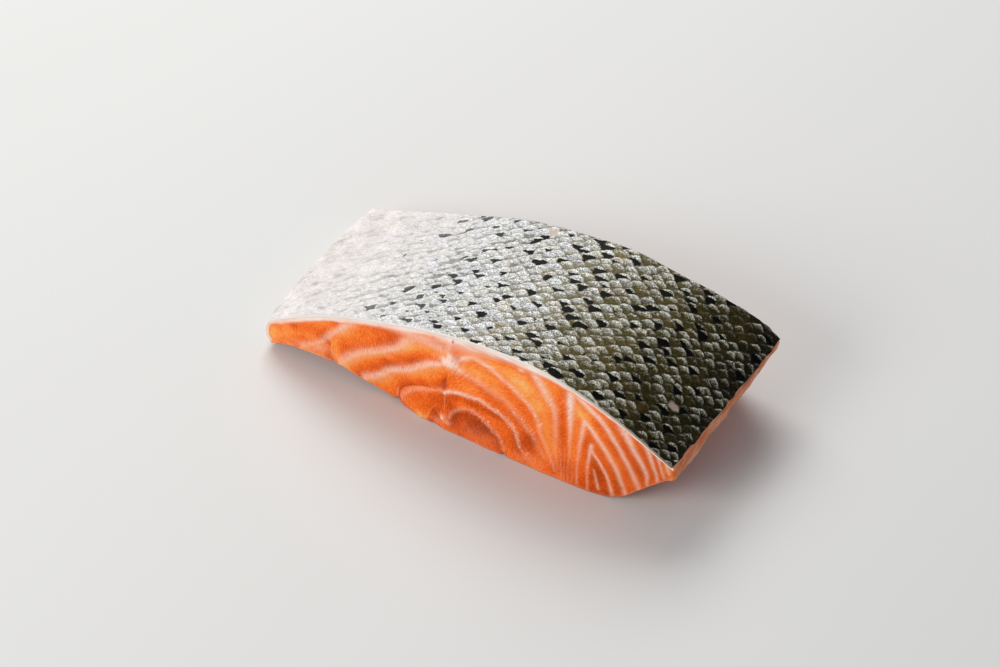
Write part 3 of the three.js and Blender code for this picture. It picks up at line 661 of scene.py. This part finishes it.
# The luck that decides on a black foot grows by these from row to row and from column to column, and
# strays by that much, so that the spots are scattered evenly.
LUCK_STEPS, LUCK_STRAY = (0.755, 0.57), 0.09
RIM_GLINT = 1.3  # how bright the painted highlight on the silver's rim is
SHADE_FADE = (-50, -8)  # the dark line ahead of each rim comes in between these x
# Where scales are missing: x, y, half width, half height.
BARE = [(64.5, -12.4, 1.9, 1.6), (-4, 29.8, 1.9, 1.6)]
SLIVER = dict(line=[(44.5, -28.9), (46.8, -29.6), (49.2, -31.2)], width=0.35)  # a lifted shred of skin
# Rows and columns of scales are numbered from a few before the first on the skin, and there are a few
# more than fit on it, for the scales that reach in from outside.
FIRST_ROW, FIRST_COLUMN = 3, 2
MORE_ROWS, MORE_COLUMNS = 8, 6
NOWHERE = 9.0  # further than any scale reaches


def scale_places(run, y):
    """How many scales have been passed along the skin and how many mm across it, with the bent rows
    and ragged rims of the scales, and how many rows and columns of scales there are."""
    fine_run = np.linspace(0, SKIN_LENGTH + 20, 600)
    scales_passed = np.cumsum(fine_run[1] / straight(SCALE_WIDTH, fine_run))
    bend = 1.2 * np.sin(run / 31.0 + 0.6) + 0.7 * value_noise(run, y, 22, 15)
    across = y - FRONT_Y + bend + RAGGED * value_noise(run, y, 27, 1.3)
    passed = np.interp(run + 1.5 * RAGGED * value_noise(run, y, 28, 1.3), fine_run, scales_passed)
    rows = int((BACK_Y - FRONT_Y) / SCALE_PITCH) + MORE_ROWS
    return passed, across, rows, int(scales_passed[-1]) + MORE_COLUMNS


def scale_field(run, y):
    """The scales at points of the unrolled skin. Of all the scales that reach a point, the one whose
    tip is nearest ahead lies on top. Gives what is needed of that scale and of its neighbours."""
    passed, across, rows, columns = scale_places(run, y)
    draws = np.random.default_rng(21).uniform(-1, 1, (7, rows, columns))
    aside_by, ahead_by, size, tone, luck, gleam, hue = draws
    tilt = straight(SCALE_TILT, run)
    highest, cover = np.full(run.shape, -1.0), np.full(run.shape, NOWHERE)
    nothing, no_scale = np.zeros_like(run), np.zeros(run.shape, int)
    found = dict(behind=nothing, drop=nothing, aside=nothing, row=no_scale, column=no_scale)
    for ahead, beside in itertools.product((-1, 0, 1, 2, 3), (0, 1)):
        row = np.clip(np.floor(across / SCALE_PITCH).astype(int) + FIRST_ROW + ahead, 0, rows - 1)
        shift = 0.5 * (row % 2)
        column = np.floor(passed - shift).astype(int) + FIRST_COLUMN + beside
        column = np.clip(column, 0, columns - 1)
        centre = column + shift - FIRST_COLUMN + SCALE_STRAY[0] * aside_by[row, column]
        tip = (row - FIRST_ROW) * SCALE_PITCH + SCALE_STRAY[1] * ahead_by[row, column]
        aside = (passed - centre) / (0.55 + 0.05 * size[row, column])
        drop = tip - across + tilt * (1 + hue[row, column]) * aside
        behind = drop - SCALE_ROUND * abs(aside) ** SCALE_POINT
        height = 1 - drop / SCALE_REACH
        on_top = (abs(aside) < 1.0) & (behind > 0) & (height > highest)
        highest = np.where(on_top, height, highest)
        here = dict(behind=behind, drop=drop, aside=aside, row=row, column=column)
        found = {key: np.where(on_top, here[key], found[key]) for key in found}
        cover = np.minimum(cover, np.where((abs(aside) < 1.0) & (behind <= 0), -behind, NOWHERE))
    row, column = found["row"], found["column"]
    turn = LUCK_STEPS[0] * row + LUCK_STEPS[1] * column + LUCK_STRAY * luck[row, column]
    return dict(found, height=np.maximum(highest, 0.2), cover=cover, tone=tone[row, column],
                hue=hue[row, column], luck=np.mod(turn, 1), gleam=0.5 + 0.5 * gleam[row, column])


def silvered(x, field, reach, rough):
    """The silver part of each scale and a painted highlight along its rim. The silver is a dome
    behind the scale's rim whose lower end lies in the notch between two others."""
    drop, rounded = field["drop"], SILVER_ROUND * abs(field["aside"]) ** SILVER_POINT
    into = blend(field["behind"], drop - rounded, smoothstep(x, -20, 30))
    into = into + 0.2 * rough * smoothstep(x, *SCALE_FADE)
    dome = smoothstep(into, -0.05, 0.55) * (1 - smoothstep(drop, reach - 0.8, reach + 0.5))
    # The second value is a painted highlight along the rim.
    return dome, RIM_GLINT * hump(into - 0.35, 0.32) * (1 - smoothstep(drop, 0.9, 2.1))


def scale_relief(x, field, reach, strength):
    """How high the scales stand. Each rises behind its rim and falls towards its root and its sides."""
    drop, aside = field["drop"], field["aside"]
    rise = smoothstep(field["behind"], 0, 0.45) * (1 - smoothstep(drop, 0.6, reach + 1.1))
    rise = rise * (1 - 0.45 * aside**2) * blend(1, 0.35 + 0.65 * strength, smoothstep(x, 0, 40))
    rise = rise + 0.35 * (field["height"] - 0.7)
    return SCALE_RISE * (0.06 + 0.94 * smoothstep(x, *RELIEF_FADE)) * rise


def skin_masks(x, y, run):
    """Relief and masks of the skin at points (x, y), `run` mm along its line."""
    field = scale_field(run, y)
    scaly = smoothstep(x, *SCALE_FADE)
    rough = 0.7 * value_noise(run, y, 23, 0.8) + 0.5 * value_noise(run, y, 31, 0.5)
    reach = through(SILVER_REACH, x) * (0.78 + 0.36 * field["gleam"]) + 0.35 * rough
    strength = blend(straight(DULLEST, x), 1, smoothstep(field["gleam"], 0.15, 0.85))
    dome, rim = silvered(x, field, reach, rough)
    spot = spotted(x, y, field, reach, rough)
    bare = bare_patches(x, y, rough)
    sliver = hump(near_line(x, y, SLIVER["line"])[0], SLIVER["width"])
    wrinkle = WRINKLE * (1 - 0.7 * scaly) * value_noise(0.55 * run + 0.2 * y, y, 25, 1.0)
    relief = scale_relief(x, field, reach, strength) + wrinkle - 0.08 * spot
    relief = relief * (1 - 0.8 * bare) - 0.1 * bare + 0.4 * sliver
    along = (x - BELLY_X) / (BACK_X - BELLY_X) + 0.025 * value_noise(x, y, 26, 9)
    # The belly's skin is smooth and white along the front cut.
    smooth = (1 - smoothstep(y - FRONT_Y + 0.5 * rough, 0.7, 1.9)) * (1 - smoothstep(x, -8, 8))
    # Of these masks, rim is a painted highlight, shade a painted shadow, and the darkening towards each
    # scale's root a painted shade.
    masks = dict(
        silver=np.maximum(dome * strength, smooth), rim=rim * strength, scaly=scaly,
        spot=spot * (1 - smooth), root_shade=smoothstep(field["drop"], 0.5, reach),
        shade=shaded(x, field["cover"], rough) * (1 - smooth), fleck=flecked(x, y) * (1 - 0.6 * dome),
        hue=field["hue"] * (0.2 + 0.8 * scaly), along=np.clip(along, 0, 1), bare=bare, sliver=sliver,
        cut=0 * x,
    )
    return relief, masks


def bare_patches(x, y, rough):
    """Where scales are missing."""
    away = np.minimum.reduce([from_oval(x, y, *oval) for oval in BARE])
    return 1 - smoothstep(away + 0.2 * rough, 0.6, 1.1)


def shaded(x, cover, rough):
    """The dark line just ahead of each rim, in shreds on the belly's side."""
    whole = blend(smoothstep(rough, -0.4, 0.3), 1, smoothstep(x, 0, 40))
    return hump(cover, 0.3) * smoothstep(x, *SHADE_FADE) * whole


def spotted(x, y, field, reach, rough):
    """The black feet that some scales have, wide wings under the silver."""
    rate = straight(SPOT_RATE, x) * (1 + 0.4 * value_noise(x, y, 24, 12))
    top = blend(SPOT_TOP, 0.9 * reach, 0.5 + 0.5 * field["tone"])
    spot = (field["luck"] < rate) * smoothstep(field["drop"] + 0.35 * rough, top - 0.3, top + 0.3)
    aside = abs(field["aside"] - 0.3 * field["hue"]) + 0.12 * rough
    half_width = 0.48 + 0.32 * field["gleam"] + 0.12 * smoothstep(x, -10, 20)
    return spot * (1 - smoothstep(aside, half_width - 0.15, half_width + 0.15))


def flecked(x, y):
    """Brown patches between the scales, most of them along the front cut."""
    fleck = smoothstep(value_noise(x, y, 29, 2.4), 0.35, 0.75) * smoothstep(x, -45, 15)
    front = hump(y - FRONT_Y - 0.9, 0.9) * smoothstep(value_noise(0.5 * x, y, 30, 1.6), -0.3, 0.4)
    return np.maximum(fleck, front * smoothstep(x, -35, 0))


def cut_short(share, back):
    """Shares of the skin's line, with the skin's end at the back edge cut back a little."""
    short = blend(*SKIN_SHORT, back) + 0.3 * value_noise(WIDTH * back, 0 * back, 17, 2.5)
    return share - short / SKIN_LENGTH * smoothstep(share, 0.9, SKIN_LINE_END)


def sheet_shares(steps):
    """Shares of the skin's line and of the way back, for a sheet of points over the skin."""
    ends = (SKIN_LINE_END, 1)
    return np.meshgrid(*[np.linspace(0, end, n + 1) for end, n in zip(ends, steps)], indexing="ij")


def skin_places(share, back, depth):
    """Places of points in the skin, at a share of its thickness below its outer side."""
    share = cut_short(share, back)
    x, z = skin_point(share, depth * skin_thickness(share), back)
    return np.stack([x, blend(FRONT_Y, back_edge(x), back), z], -1)


def rim_of(grid):
    """The numbers of a grid's corners once round its rim, as four sides."""
    return [grid[:-1, 0], grid[-1, :-1], grid[:0:-1, -1], grid[0, :0:-1]]


def joined(upper, lower):
    """Triangles between two lines with different numbers of corners."""
    triangles = []
    i = j = 0
    while i < len(upper) - 1 or j < len(lower) - 1:
        upper_first = (i + 1) * (len(lower) - 1) <= (j + 1) * (len(upper) - 1)
        if j == len(lower) - 1 or (upper_first and i < len(upper) - 1):
            triangles.append((upper[i], lower[j], upper[i + 1]))
            i += 1
        else:
            triangles.append((upper[i], lower[j], lower[j + 1]))
            j += 1
    return triangles


RIM_BULGE = 0.14  # how far the cut edge of the skin stands out at half its depth
RIM_RINGS = [(0.35, 0.8), (0.7, 1.0), (1.0, 0.6)]  # share of the skin's depth, share of the bulge
SKIN_ROOM = (0.002, 0.002, 0.998, 0.93)
RIM_ROOM = (0.002, 0.94, 0.998, 0.985)
LINING_UV = (0.5, 0.995)


def with_relief(places, relief):
    """A sheet's places moved outwards by its relief."""
    x, y, z = np.moveaxis(places, -1, 0)
    ahead = np.stack([np.gradient(x, axis=0), np.gradient(z, axis=0)], -1)
    ahead /= np.linalg.norm(ahead, axis=-1)[..., None]
    return np.stack([x - ahead[..., 1] * relief, y, z + ahead[..., 0] * relief], -1)


def rim_ring(share, back, depth, bulge):
    """Places once round the cut edge of the skin, `bulge` of RIM_BULGE further out than its top."""
    outwards = np.stack([1.0 * (share == SKIN_LINE_END), 1.0 * (back == 1) - (back == 0)], -1)
    ring = skin_places(share, back, depth)
    ring[:, :2] += RIM_BULGE * bulge * outwards
    return ring


def dress_skin():
    share, back = sheet_shares(SKIN_STEPS)
    places = skin_places(share, back, 0)
    relief, masks = skin_masks(places[..., 0], places[..., 1], cut_short(share, back) * SKIN_LENGTH)
    outer = np.arange(share.size).reshape(share.shape)
    loop = np.concatenate(rim_of(outer))
    edge = [rim_ring(share.flat[loop], back.flat[loop], *ring) for ring in RIM_RINGS]
    lining = skin_places(*sheet_shares(LINING_STEPS), 1)
    points = np.vstack([part.reshape(-1, 3) for part in (with_relief(places, relief), *edge, lining)])
    rings = [loop] + [outer.size + k * len(loop) + np.arange(len(loop)) for k in range(len(edge))]
    inner = np.arange(len(points) - lining[..., 0].size, len(points)).reshape(lining.shape[:2])
    faces, uvs = skin_faces(outer, rings, inner)
    masks = {name: extended(mask.ravel(), loop, len(points)) for name, mask in masks.items()}
    masks["cut"][outer.size :] = 1
    return make_piece("salmon_skin", points, faces, uvs, masks, skin_material())


def extended(mask, loop, count):
    """A mask of the outer sheet carried on down its rim rings, and 0 on the lining."""
    carried = np.concatenate([mask, np.tile(mask[loop], len(RIM_RINGS))])
    return np.pad(carried, (0, count - len(carried)))


def skin_faces(outer, rings, inner):
    """Faces and UVs of the sheet, its rim and its lining."""
    rim, rim_uvs = rim_faces(rings)
    lining = lining_faces(outer, rings[-1], inner)
    faces = [*face_corners(outer), *rim, *lining]
    return faces, [*room_uvs(outer.shape, SKIN_ROOM), *rim_uvs, *([LINING_UV] * len(f) for f in lining)]


def rim_faces(rings):
    """Faces and UVs between the rings of corners round the cut edge."""
    grid = np.array([[*ring, ring[0]] for ring in rings])
    left, bottom, right, top = RIM_ROOM
    across, down = np.linspace(left, right, grid.shape[1]), np.linspace(top, bottom, grid.shape[0])
    return face_corners(grid), face_corners(np.stack(np.meshgrid(across, down), -1))


def lining_faces(outer, last_ring, inner):
    """Faces of the lining, and of the seam that joins its rim to the last ring."""
    faces = [face[::-1] for face in face_corners(inner)]
    start, inner_sides = 0, rim_of(inner)
    for k, (outer_side, inner_side) in enumerate(zip(rim_of(outer), inner_sides)):
        upper = [last_ring[(start + i) % len(last_ring)] for i in range(len(outer_side) + 1)]
        lower = list(inner_side) + [inner_sides[(k + 1) % 4][0]]
        faces += joined(upper, lower)
        start += len(outer_side)
    return faces


# ---- Meshes and materials. ----
def add_object(name, data):
    made = bpy.data.objects.new(name, data)
    bpy.context.scene.collection.objects.link(made)
    return made


def make_piece(name, points, faces, uvs, masks, material):
    """A smooth mesh object with a mask attribute for each entry of `masks`, points in millimetres."""
    mesh = bpy.data.meshes.new(name)
    mesh.materials.append(material)
    mesh.from_pydata(in_frame(points).tolist(), [], [list(map(int, f)) for f in faces])
    layer = mesh.uv_layers.new(name="OFBake")
    layer.data.foreach_set("uv", np.concatenate([np.asarray(uv, float).ravel() for uv in uvs]))
    for mask_name, mask in masks.items():
        flat = np.ndim(mask) == 1
        attribute = mesh.attributes.new(mask_name, "FLOAT" if flat else "FLOAT_VECTOR", "POINT")
        attribute.data.foreach_set("value" if flat else "vector", np.asarray(mask, np.float32).ravel())
    mesh.polygons.foreach_set("use_smooth", [True] * len(mesh.polygons))
    mesh.validate()
    return add_object(name, mesh)


def colour(code):
    """An sRGB hex code as a linear colour."""
    parts = [int(code[i : i + 2], 16) / 255 for i in (0, 2, 4)]
    return tuple(c / 12.92 if c <= 0.04045 else ((c + 0.055) / 1.055) ** 2.4 for c in parts) + (1.0,)


class Graph:
    """A material's nodes, added one call at a time."""

    def __init__(self, name):
        self.material = bpy.data.materials.new(name)
        self.material.use_nodes = True
        self.tree = self.material.node_tree
        self.tree.nodes.clear()

    def node(self, kind, inputs=(), **settings):
        made = self.tree.nodes.new("ShaderNode" + kind)
        for key, value in settings.items():
            setattr(made, key, value)
        for key, value in dict(inputs).items():
            self.put(made.inputs[key], value)
        return made

    def put(self, socket, value):
        if isinstance(value, bpy.types.NodeSocket):
            self.tree.links.new(value, socket)
        else:
            socket.default_value = value

    def mask(self, name):
        return self.node("Attribute", attribute_name=name).outputs["Fac"]

    def math(self, operation, a, b=0.0, clamp=False):
        return self.node("Math", {0: a, 1: b}, operation=operation, use_clamp=clamp).outputs[0]

    def add(self, a, b):
        return self.math("ADD", a, b)

    def multiply(self, a, b, clamp=False):
        return self.math("MULTIPLY", a, b, clamp)

    def mix(self, share, a, b, blend_type="MIX"):
        made = self.node("Mix", {0: share, 6: a, 7: b}, data_type="RGBA", blend_type=blend_type)
        return made.outputs[2]

    def ramp(self, share, stops):
        made = self.node("ValToRGB", {0: share})
        elements = made.color_ramp.elements
        while len(elements) < len(stops):
            elements.new(0.5)
        for element, (place, code) in zip(elements, stops):
            element.position = place
            element.color = colour(code)
        return made.outputs[0]

    def noise(self, scale, detail=2.0, roughness=0.5, stretch=(1, 1, 1), place=None):
        place = place or self.node("TexCoord").outputs["Object"]
        moved = self.node("Mapping", {"Vector": place, "Scale": stretch}).outputs[0]
        inputs = {"Vector": moved, "Scale": scale, "Detail": detail, "Roughness": roughness}
        return self.node("TexNoise", inputs).outputs["Fac"]

    def times(self, a, b):
        """A colour times a number or another colour."""
        return self.mix(1.0, a, b, "MULTIPLY")

    def varied(self, body, noise, strength):
        """A colour made lighter and darker by a noise."""
        swing = self.multiply(self.math("SUBTRACT", noise, 0.5), strength)
        return self.times(body, self.add(1.0, swing))

    def fit(self, value, low, high, to_low, to_high):
        inputs = {0: value, 1: low, 2: high, 3: to_low, 4: to_high}
        return self.node("MapRange", inputs).outputs[0]

    def ranged(self, noise, to_low, to_high):
        """A noise value fitted to a range. Most values of a noise lie between 0.3 and 0.7."""
        return self.fit(noise, 0.3, 0.7, to_low, to_high)

    def bump(self, height, strength, distance):
        inputs = {"Height": height, "Strength": strength, "Distance": distance}
        return self.node("Bump", inputs).outputs[0]

    def finish(self, **inputs):
        named = {key.replace("_", " "): value for key, value in inputs.items()}
        shader = self.node("BsdfPrincipled", named)
        output = self.node("OutputMaterial", {"Surface": shader.outputs[0]})
        output.is_active_output = True
        return self.material


# sRGB codes at places along a ramp: the flesh from red to light, and what lies over it from thin to
# thick.
FLESH_TONES = [
    (0.0, "983200"), (0.17, "B84404"), (0.33, "DC560E"), (0.5, "F86F1E"), (0.67, "FF903C"),
    (0.83, "FFAA5C"), (1.0, "FFBC7C"),
]
SEAM_TONES = [(0.3, "FAAE88"), (0.7, "FCC6AA"), (1.0, "FCDACA")]
FAT_TONES = [(0.1, "F69060"), (0.35, "F6A482"), (0.55, "F8BEA4"), (0.75, "F8D4C4"), (0.95, "F8EAE2")]
STAIN_TONES = [(0.45, "C0665A"), (0.6, "A83818"), (1.0, "6E5046")]
# What is left of the flesh's light at the back edge, and between which metres along X it fades.
BACK_SHADE, BACK_SHADE_FADE = 0.78, (0.048, 0.078)
# The skin from the belly edge to the back edge: its ground, the silver of the scales on it and the painted
# shade that darkens it towards a scale's root, the brown flecks, the painted shadow ahead of a rim and the
# skin's cut edge.
GROUND_TONES = [
    (0.05, "D1CBCA"), (0.2, "C4C0BF"), (0.37, "8E8C88"), (0.5, "8A8576"), (0.61, "78704E"),
    (0.72, "5E5630"), (0.85, "38320F"), (1.0, "1A1808"),
]
SILVER_TONES = [
    (0.05, "DAD3D3"), (0.2, "DAD6D7"), (0.37, "D9DADE"), (0.52, "DFE1E7"), (0.61, "D4D6D6"),
    (0.75, "CECCC0"), (0.87, "A8A696"), (1.0, "727060"),
]
ROOT_SHADE_TONES = [(0.4, "D0CCC0"), (0.75, "908C80")]
FLECK_TONES = [(0.3, "B0A080"), (0.55, "8A7440"), (0.8, "584218"), (1.0, "2E2410")]
SHADOW_TONES = [(0.1, "C0BCB8"), (0.3, "8A867C"), (0.5, "4A4432"), (0.7, "2A2612"), (1.0, "100E06")]
CUT_TONES = [
    (0.0, "FFDCC0"), (0.04, "F4ECE6"), (0.66, "F6F0EA"), (0.78, "C8C2BA"), (0.9, "A8A09A"), (1.0, "807868"),
]
# The tints of single scales, from bluish to pink.
HUE_TONES = [(0.0, "F6F9FF"), (0.35, "FFFFFF"), (0.7, "FBFCF2"), (1.0, "FFF6F0")]


def flesh_tone(g, noises):
    """How light the flesh is, uneven at every scale from clouds to grains."""
    tone = g.mask("tone")
    for noise, swing in noises:
        tone = g.add(tone, g.ranged(noise, -swing, swing))
    return g.fit(tone, -1.5, 1.5, 0, 1)


def flesh_material():
    g = Graph("salmon_flesh")
    fibre_place = g.node("Attribute", attribute_name="fibre").outputs["Vector"]
    cloud = g.noise(140, 3.0, 0.55)
    fibre = g.noise(1.0, 2.0, 0.6, stretch=(2.6, 0.4, 1.0), place=fibre_place)
    grain = g.noise(1.0, 2.0, 0.6, stretch=(2.4, 0.9, 1.0), place=fibre_place)
    noises = [(cloud, 0.25), (fibre, 0.25), (grain, 0.22), (g.noise(2600, 1.5, 0.6), 0.3)]
    body = g.ramp(flesh_tone(g, noises), FLESH_TONES)
    seam = g.multiply(g.mask("seam"), g.ranged(fibre, 0.65, 1.2), clamp=True)
    body = g.mix(seam, body, g.ramp(seam, SEAM_TONES))
    place_x = g.node("SeparateXYZ", {0: g.node("TexCoord").outputs["Object"]}).outputs[0]
    body = g.times(body, g.fit(place_x, *BACK_SHADE_FADE, 1.0, BACK_SHADE))
    fat = g.multiply(g.mask("fat"), g.fit(cloud, 0.25, 0.75, 0.8, 1.15), clamp=True)
    body = g.mix(g.fit(fat, 0, 0.5, 0, 0.95), body, g.ramp(fat, FAT_TONES))
    stain = g.mask("stain")
    body = g.mix(stain, body, g.ramp(stain, STAIN_TONES))
    # Painted highlights of glistening beads of juice along the arches.
    bead = g.noise(1700, 1.0, 0.5)
    glint = g.multiply(g.mask("wet_highlight"), g.fit(bead, 0.57, 0.68, 0, 0.75), clamp=True)
    body = g.mix(glint, body, colour("FFDCCC"))
    height = g.add(g.add(g.multiply(fibre, 0.5), g.multiply(grain, 0.3)), glint)
    return g.finish(
        Base_Color=body, Roughness=g.fit(g.noise(260, 2.0, 0.5), 0.35, 0.65, 0.28, 0.5),
        IOR=1.4, Specular_IOR_Level=0.15, Normal=g.bump(height, 0.45, 0.0003),
        Subsurface_Weight=0.2, Subsurface_Radius=(1.0, 0.3, 0.1), Subsurface_Scale=0.0015,
    )


def silver_colour(g, along, noise, contrast):
    """The silver of the scales, darkened towards each scale's root by a painted shade."""
    root_shade = g.multiply(g.mask("root_shade"), g.mask("scaly"))
    silver = g.times(g.ramp(along, SILVER_TONES), g.mix(root_shade, colour("FFFFFF"), g.ramp(along, ROOT_SHADE_TONES)))
    silver = g.varied(silver, noise["fine"], contrast)
    silver = g.varied(silver, noise["grit"], g.multiply(contrast, 0.8))
    silver = g.varied(silver, noise["cloud"], g.fit(along, 0.1, 0.35, 0.7, 0.3))
    return g.times(silver, g.ramp(g.fit(g.mask("hue"), -1, 1, 0, 1), HUE_TONES))


def silver_share(g, along, noise):
    """Where the silver covers the ground, with grains of both at its border."""
    pepper = g.add(g.ranged(noise["speck"], -0.42, 0.42), g.ranged(noise["grit"], -0.35, 0.35))
    pepper = g.multiply(pepper, g.fit(along, 0.15, 0.5, 0.6, 1))
    return g.fit(g.add(g.mask("silver"), pepper), 0.25, 0.65, 0, 1)


def scaly_colour(g, along, noise):
    """Silver over the darker ground, with salt and pepper that grow towards the back."""
    contrast = g.fit(along, 0.2, 0.7, 0.4, 3.7)
    ground = g.varied(g.ramp(along, GROUND_TONES), noise["cloud"], 1.6)
    ground = g.varied(ground, noise["speck"], contrast)
    body = g.mix(silver_share(g, along, noise), ground, silver_colour(g, along, noise, contrast))
    body = g.varied(body, noise["mottle"], g.fit(along, 0.1, 0.35, 0.4, 1.5))
    return g.times(body, g.fit(noise["speck"], 0.5, 0.62, 1.0, g.fit(along, 0.2, 0.45, 0.85, 0.5)))


def with_marks(g, body, along, noise):
    """Adds flecks, the painted shadows and painted highlights at the rims, black spots, bare
    patches and the cut edge.
    """
    body = g.mix(g.multiply(g.mask("fleck"), 0.6), body, g.ramp(along, FLECK_TONES))
    body = g.mix(g.multiply(g.mask("shade"), 0.88), body, g.ramp(along, SHADOW_TONES))
    # A painted highlight along the scales' rims.
    glint = g.multiply(g.mask("rim"), g.fit(noise["fine"], 0.44, 0.56, 0, 1), clamp=True)
    glint = g.multiply(glint, g.fit(g.mask("scaly"), 0, 0.8, 0, 1))
    body = g.mix(glint, body, g.times(colour("FFFEF2"), g.fit(along, 0.6, 1, 1, 0.6)))
    black = g.fit(g.add(g.mask("spot"), g.ranged(noise["speck"], -0.25, 0.25)), 0.35, 0.6, 0, 1)
    body = g.mix(g.multiply(black, g.fit(along, 0.2, 0.45, 0.7, 1.0)), body, colour("060605"))
    bare = g.mix(g.fit(along, 0.5, 0.9, 0, 1), colour("C8AC9E"), colour("9C8C80"))
    body = g.mix(g.mask("bare"), body, bare)
    body = g.mix(g.mask("sliver"), body, colour("DAD8C8"))
    return g.mix(g.mask("cut"), body, g.ramp(along, CUT_TONES))


def skin_material():
    g = Graph("salmon_skin")
    along = g.mask("along")
    noise = dict(
        fine=g.noise(2600, 2.0, 0.6), grit=g.noise(1900, 1.5, 0.5), speck=g.noise(1500, 3.0, 0.65),
        mottle=g.noise(800, 3.0, 0.6), cloud=g.noise(170, 3.0, 0.6),
    )
    body = with_marks(g, scaly_colour(g, along, noise), along, noise)
    height = g.add(g.multiply(noise["fine"], 0.5), g.multiply(noise["speck"], 0.8))
    return g.finish(
        Base_Color=body, Roughness=g.ranged(noise["speck"], 0.3, 0.5), IOR=1.45,
        Specular_IOR_Level=0.05, Normal=g.bump(height, 0.6, 0.0003),
        Subsurface_Weight=0.08, Subsurface_Radius=(1.0, 0.8, 0.7), Subsurface_Scale=0.001,
    )


def floor_material():
    return Graph("studio_floor").finish(Base_Color=colour("D4D4D2"), Roughness=0.7)


# ---- The studio. ----
CAMERA_AZIMUTH = math.radians(32.0)
CAMERA_ELEVATION = math.radians(42.7)
CAMERA_DISTANCE = 1.207  # metres
CAMERA_LENS, CAMERA_SENSOR = 135.0, 36.0
TARGET_X = -13.8  # the point looked at lies there
SKIN_EDGE_TO_TARGET = 43.5  # and this far behind the skin's front edge
CAMERA_TARGET = Vector(ORIGIN + (TARGET_X, FRONT_Y + SKIN_EDGE_TO_TARGET, 0)) * MM
FLOOR_HALF = 3.0  # metres
# The soft lights: place and size in metres, watts and tint.
LIGHTS = dict(
    key=((-0.75, 0.75, 0.95), (1.0, 0.8), 17, (1.0, 0.985, 0.96)),
    front=((-0.45, -1.1, 0.7), (0.9, 0.6), 11, (1.0, 0.98, 0.95)),
)
SKY_TINT, SKY_STRENGTH = (0.9, 0.93, 1.0, 1), 0.35


def turned_to(direction):
    """The rotation of a camera or light that looks that way."""
    return direction.to_track_quat("-Z", "Y").to_euler()


def add_floor():
    h = FLOOR_HALF
    mesh = bpy.data.meshes.new("floor")
    mesh.from_pydata([(-h, -h, 0), (h, -h, 0), (h, h, 0), (-h, h, 0)], [], [(0, 1, 2, 3)])
    floor = add_object("floor", mesh)
    floor.data.materials.append(floor_material())


def add_camera():
    data = bpy.data.cameras.new("camera")
    data.lens = CAMERA_LENS
    data.sensor_width = CAMERA_SENSOR
    camera = add_object("camera", data)
    away = Vector((
        math.sin(CAMERA_AZIMUTH) * math.cos(CAMERA_ELEVATION),
        -math.cos(CAMERA_AZIMUTH) * math.cos(CAMERA_ELEVATION),
        math.sin(CAMERA_ELEVATION),
    ))
    camera.location = CAMERA_TARGET + CAMERA_DISTANCE * away
    camera.rotation_euler = turned_to(-away)
    bpy.context.scene.camera = camera


def add_light(name, place, size, watts, tint):
    data = bpy.data.lights.new(name, "AREA")
    data.shape = "RECTANGLE"
    data.size, data.size_y = size
    data.energy = watts
    data.color = tint
    light = add_object(name, data)
    light.location = place
    light.rotation_euler = turned_to(-Vector(place))


def add_studio():
    for name, settings in LIGHTS.items():
        add_light(name, *settings)
    world = bpy.data.worlds.new("studio")
    world.use_nodes = True
    background = world.node_tree.nodes["Background"]
    background.inputs["Color"].default_value = SKY_TINT
    background.inputs["Strength"].default_value = SKY_STRENGTH
    bpy.context.scene.world = world
    bpy.context.scene.view_settings.view_transform = "Standard"


def dress():
    flesh = dress_flesh()
    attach(flesh, "root")
    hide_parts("flesh")
    skin = dress_skin()
    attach(skin, "root")
    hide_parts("skin")


dress()
add_floor()
add_camera()
add_studio()
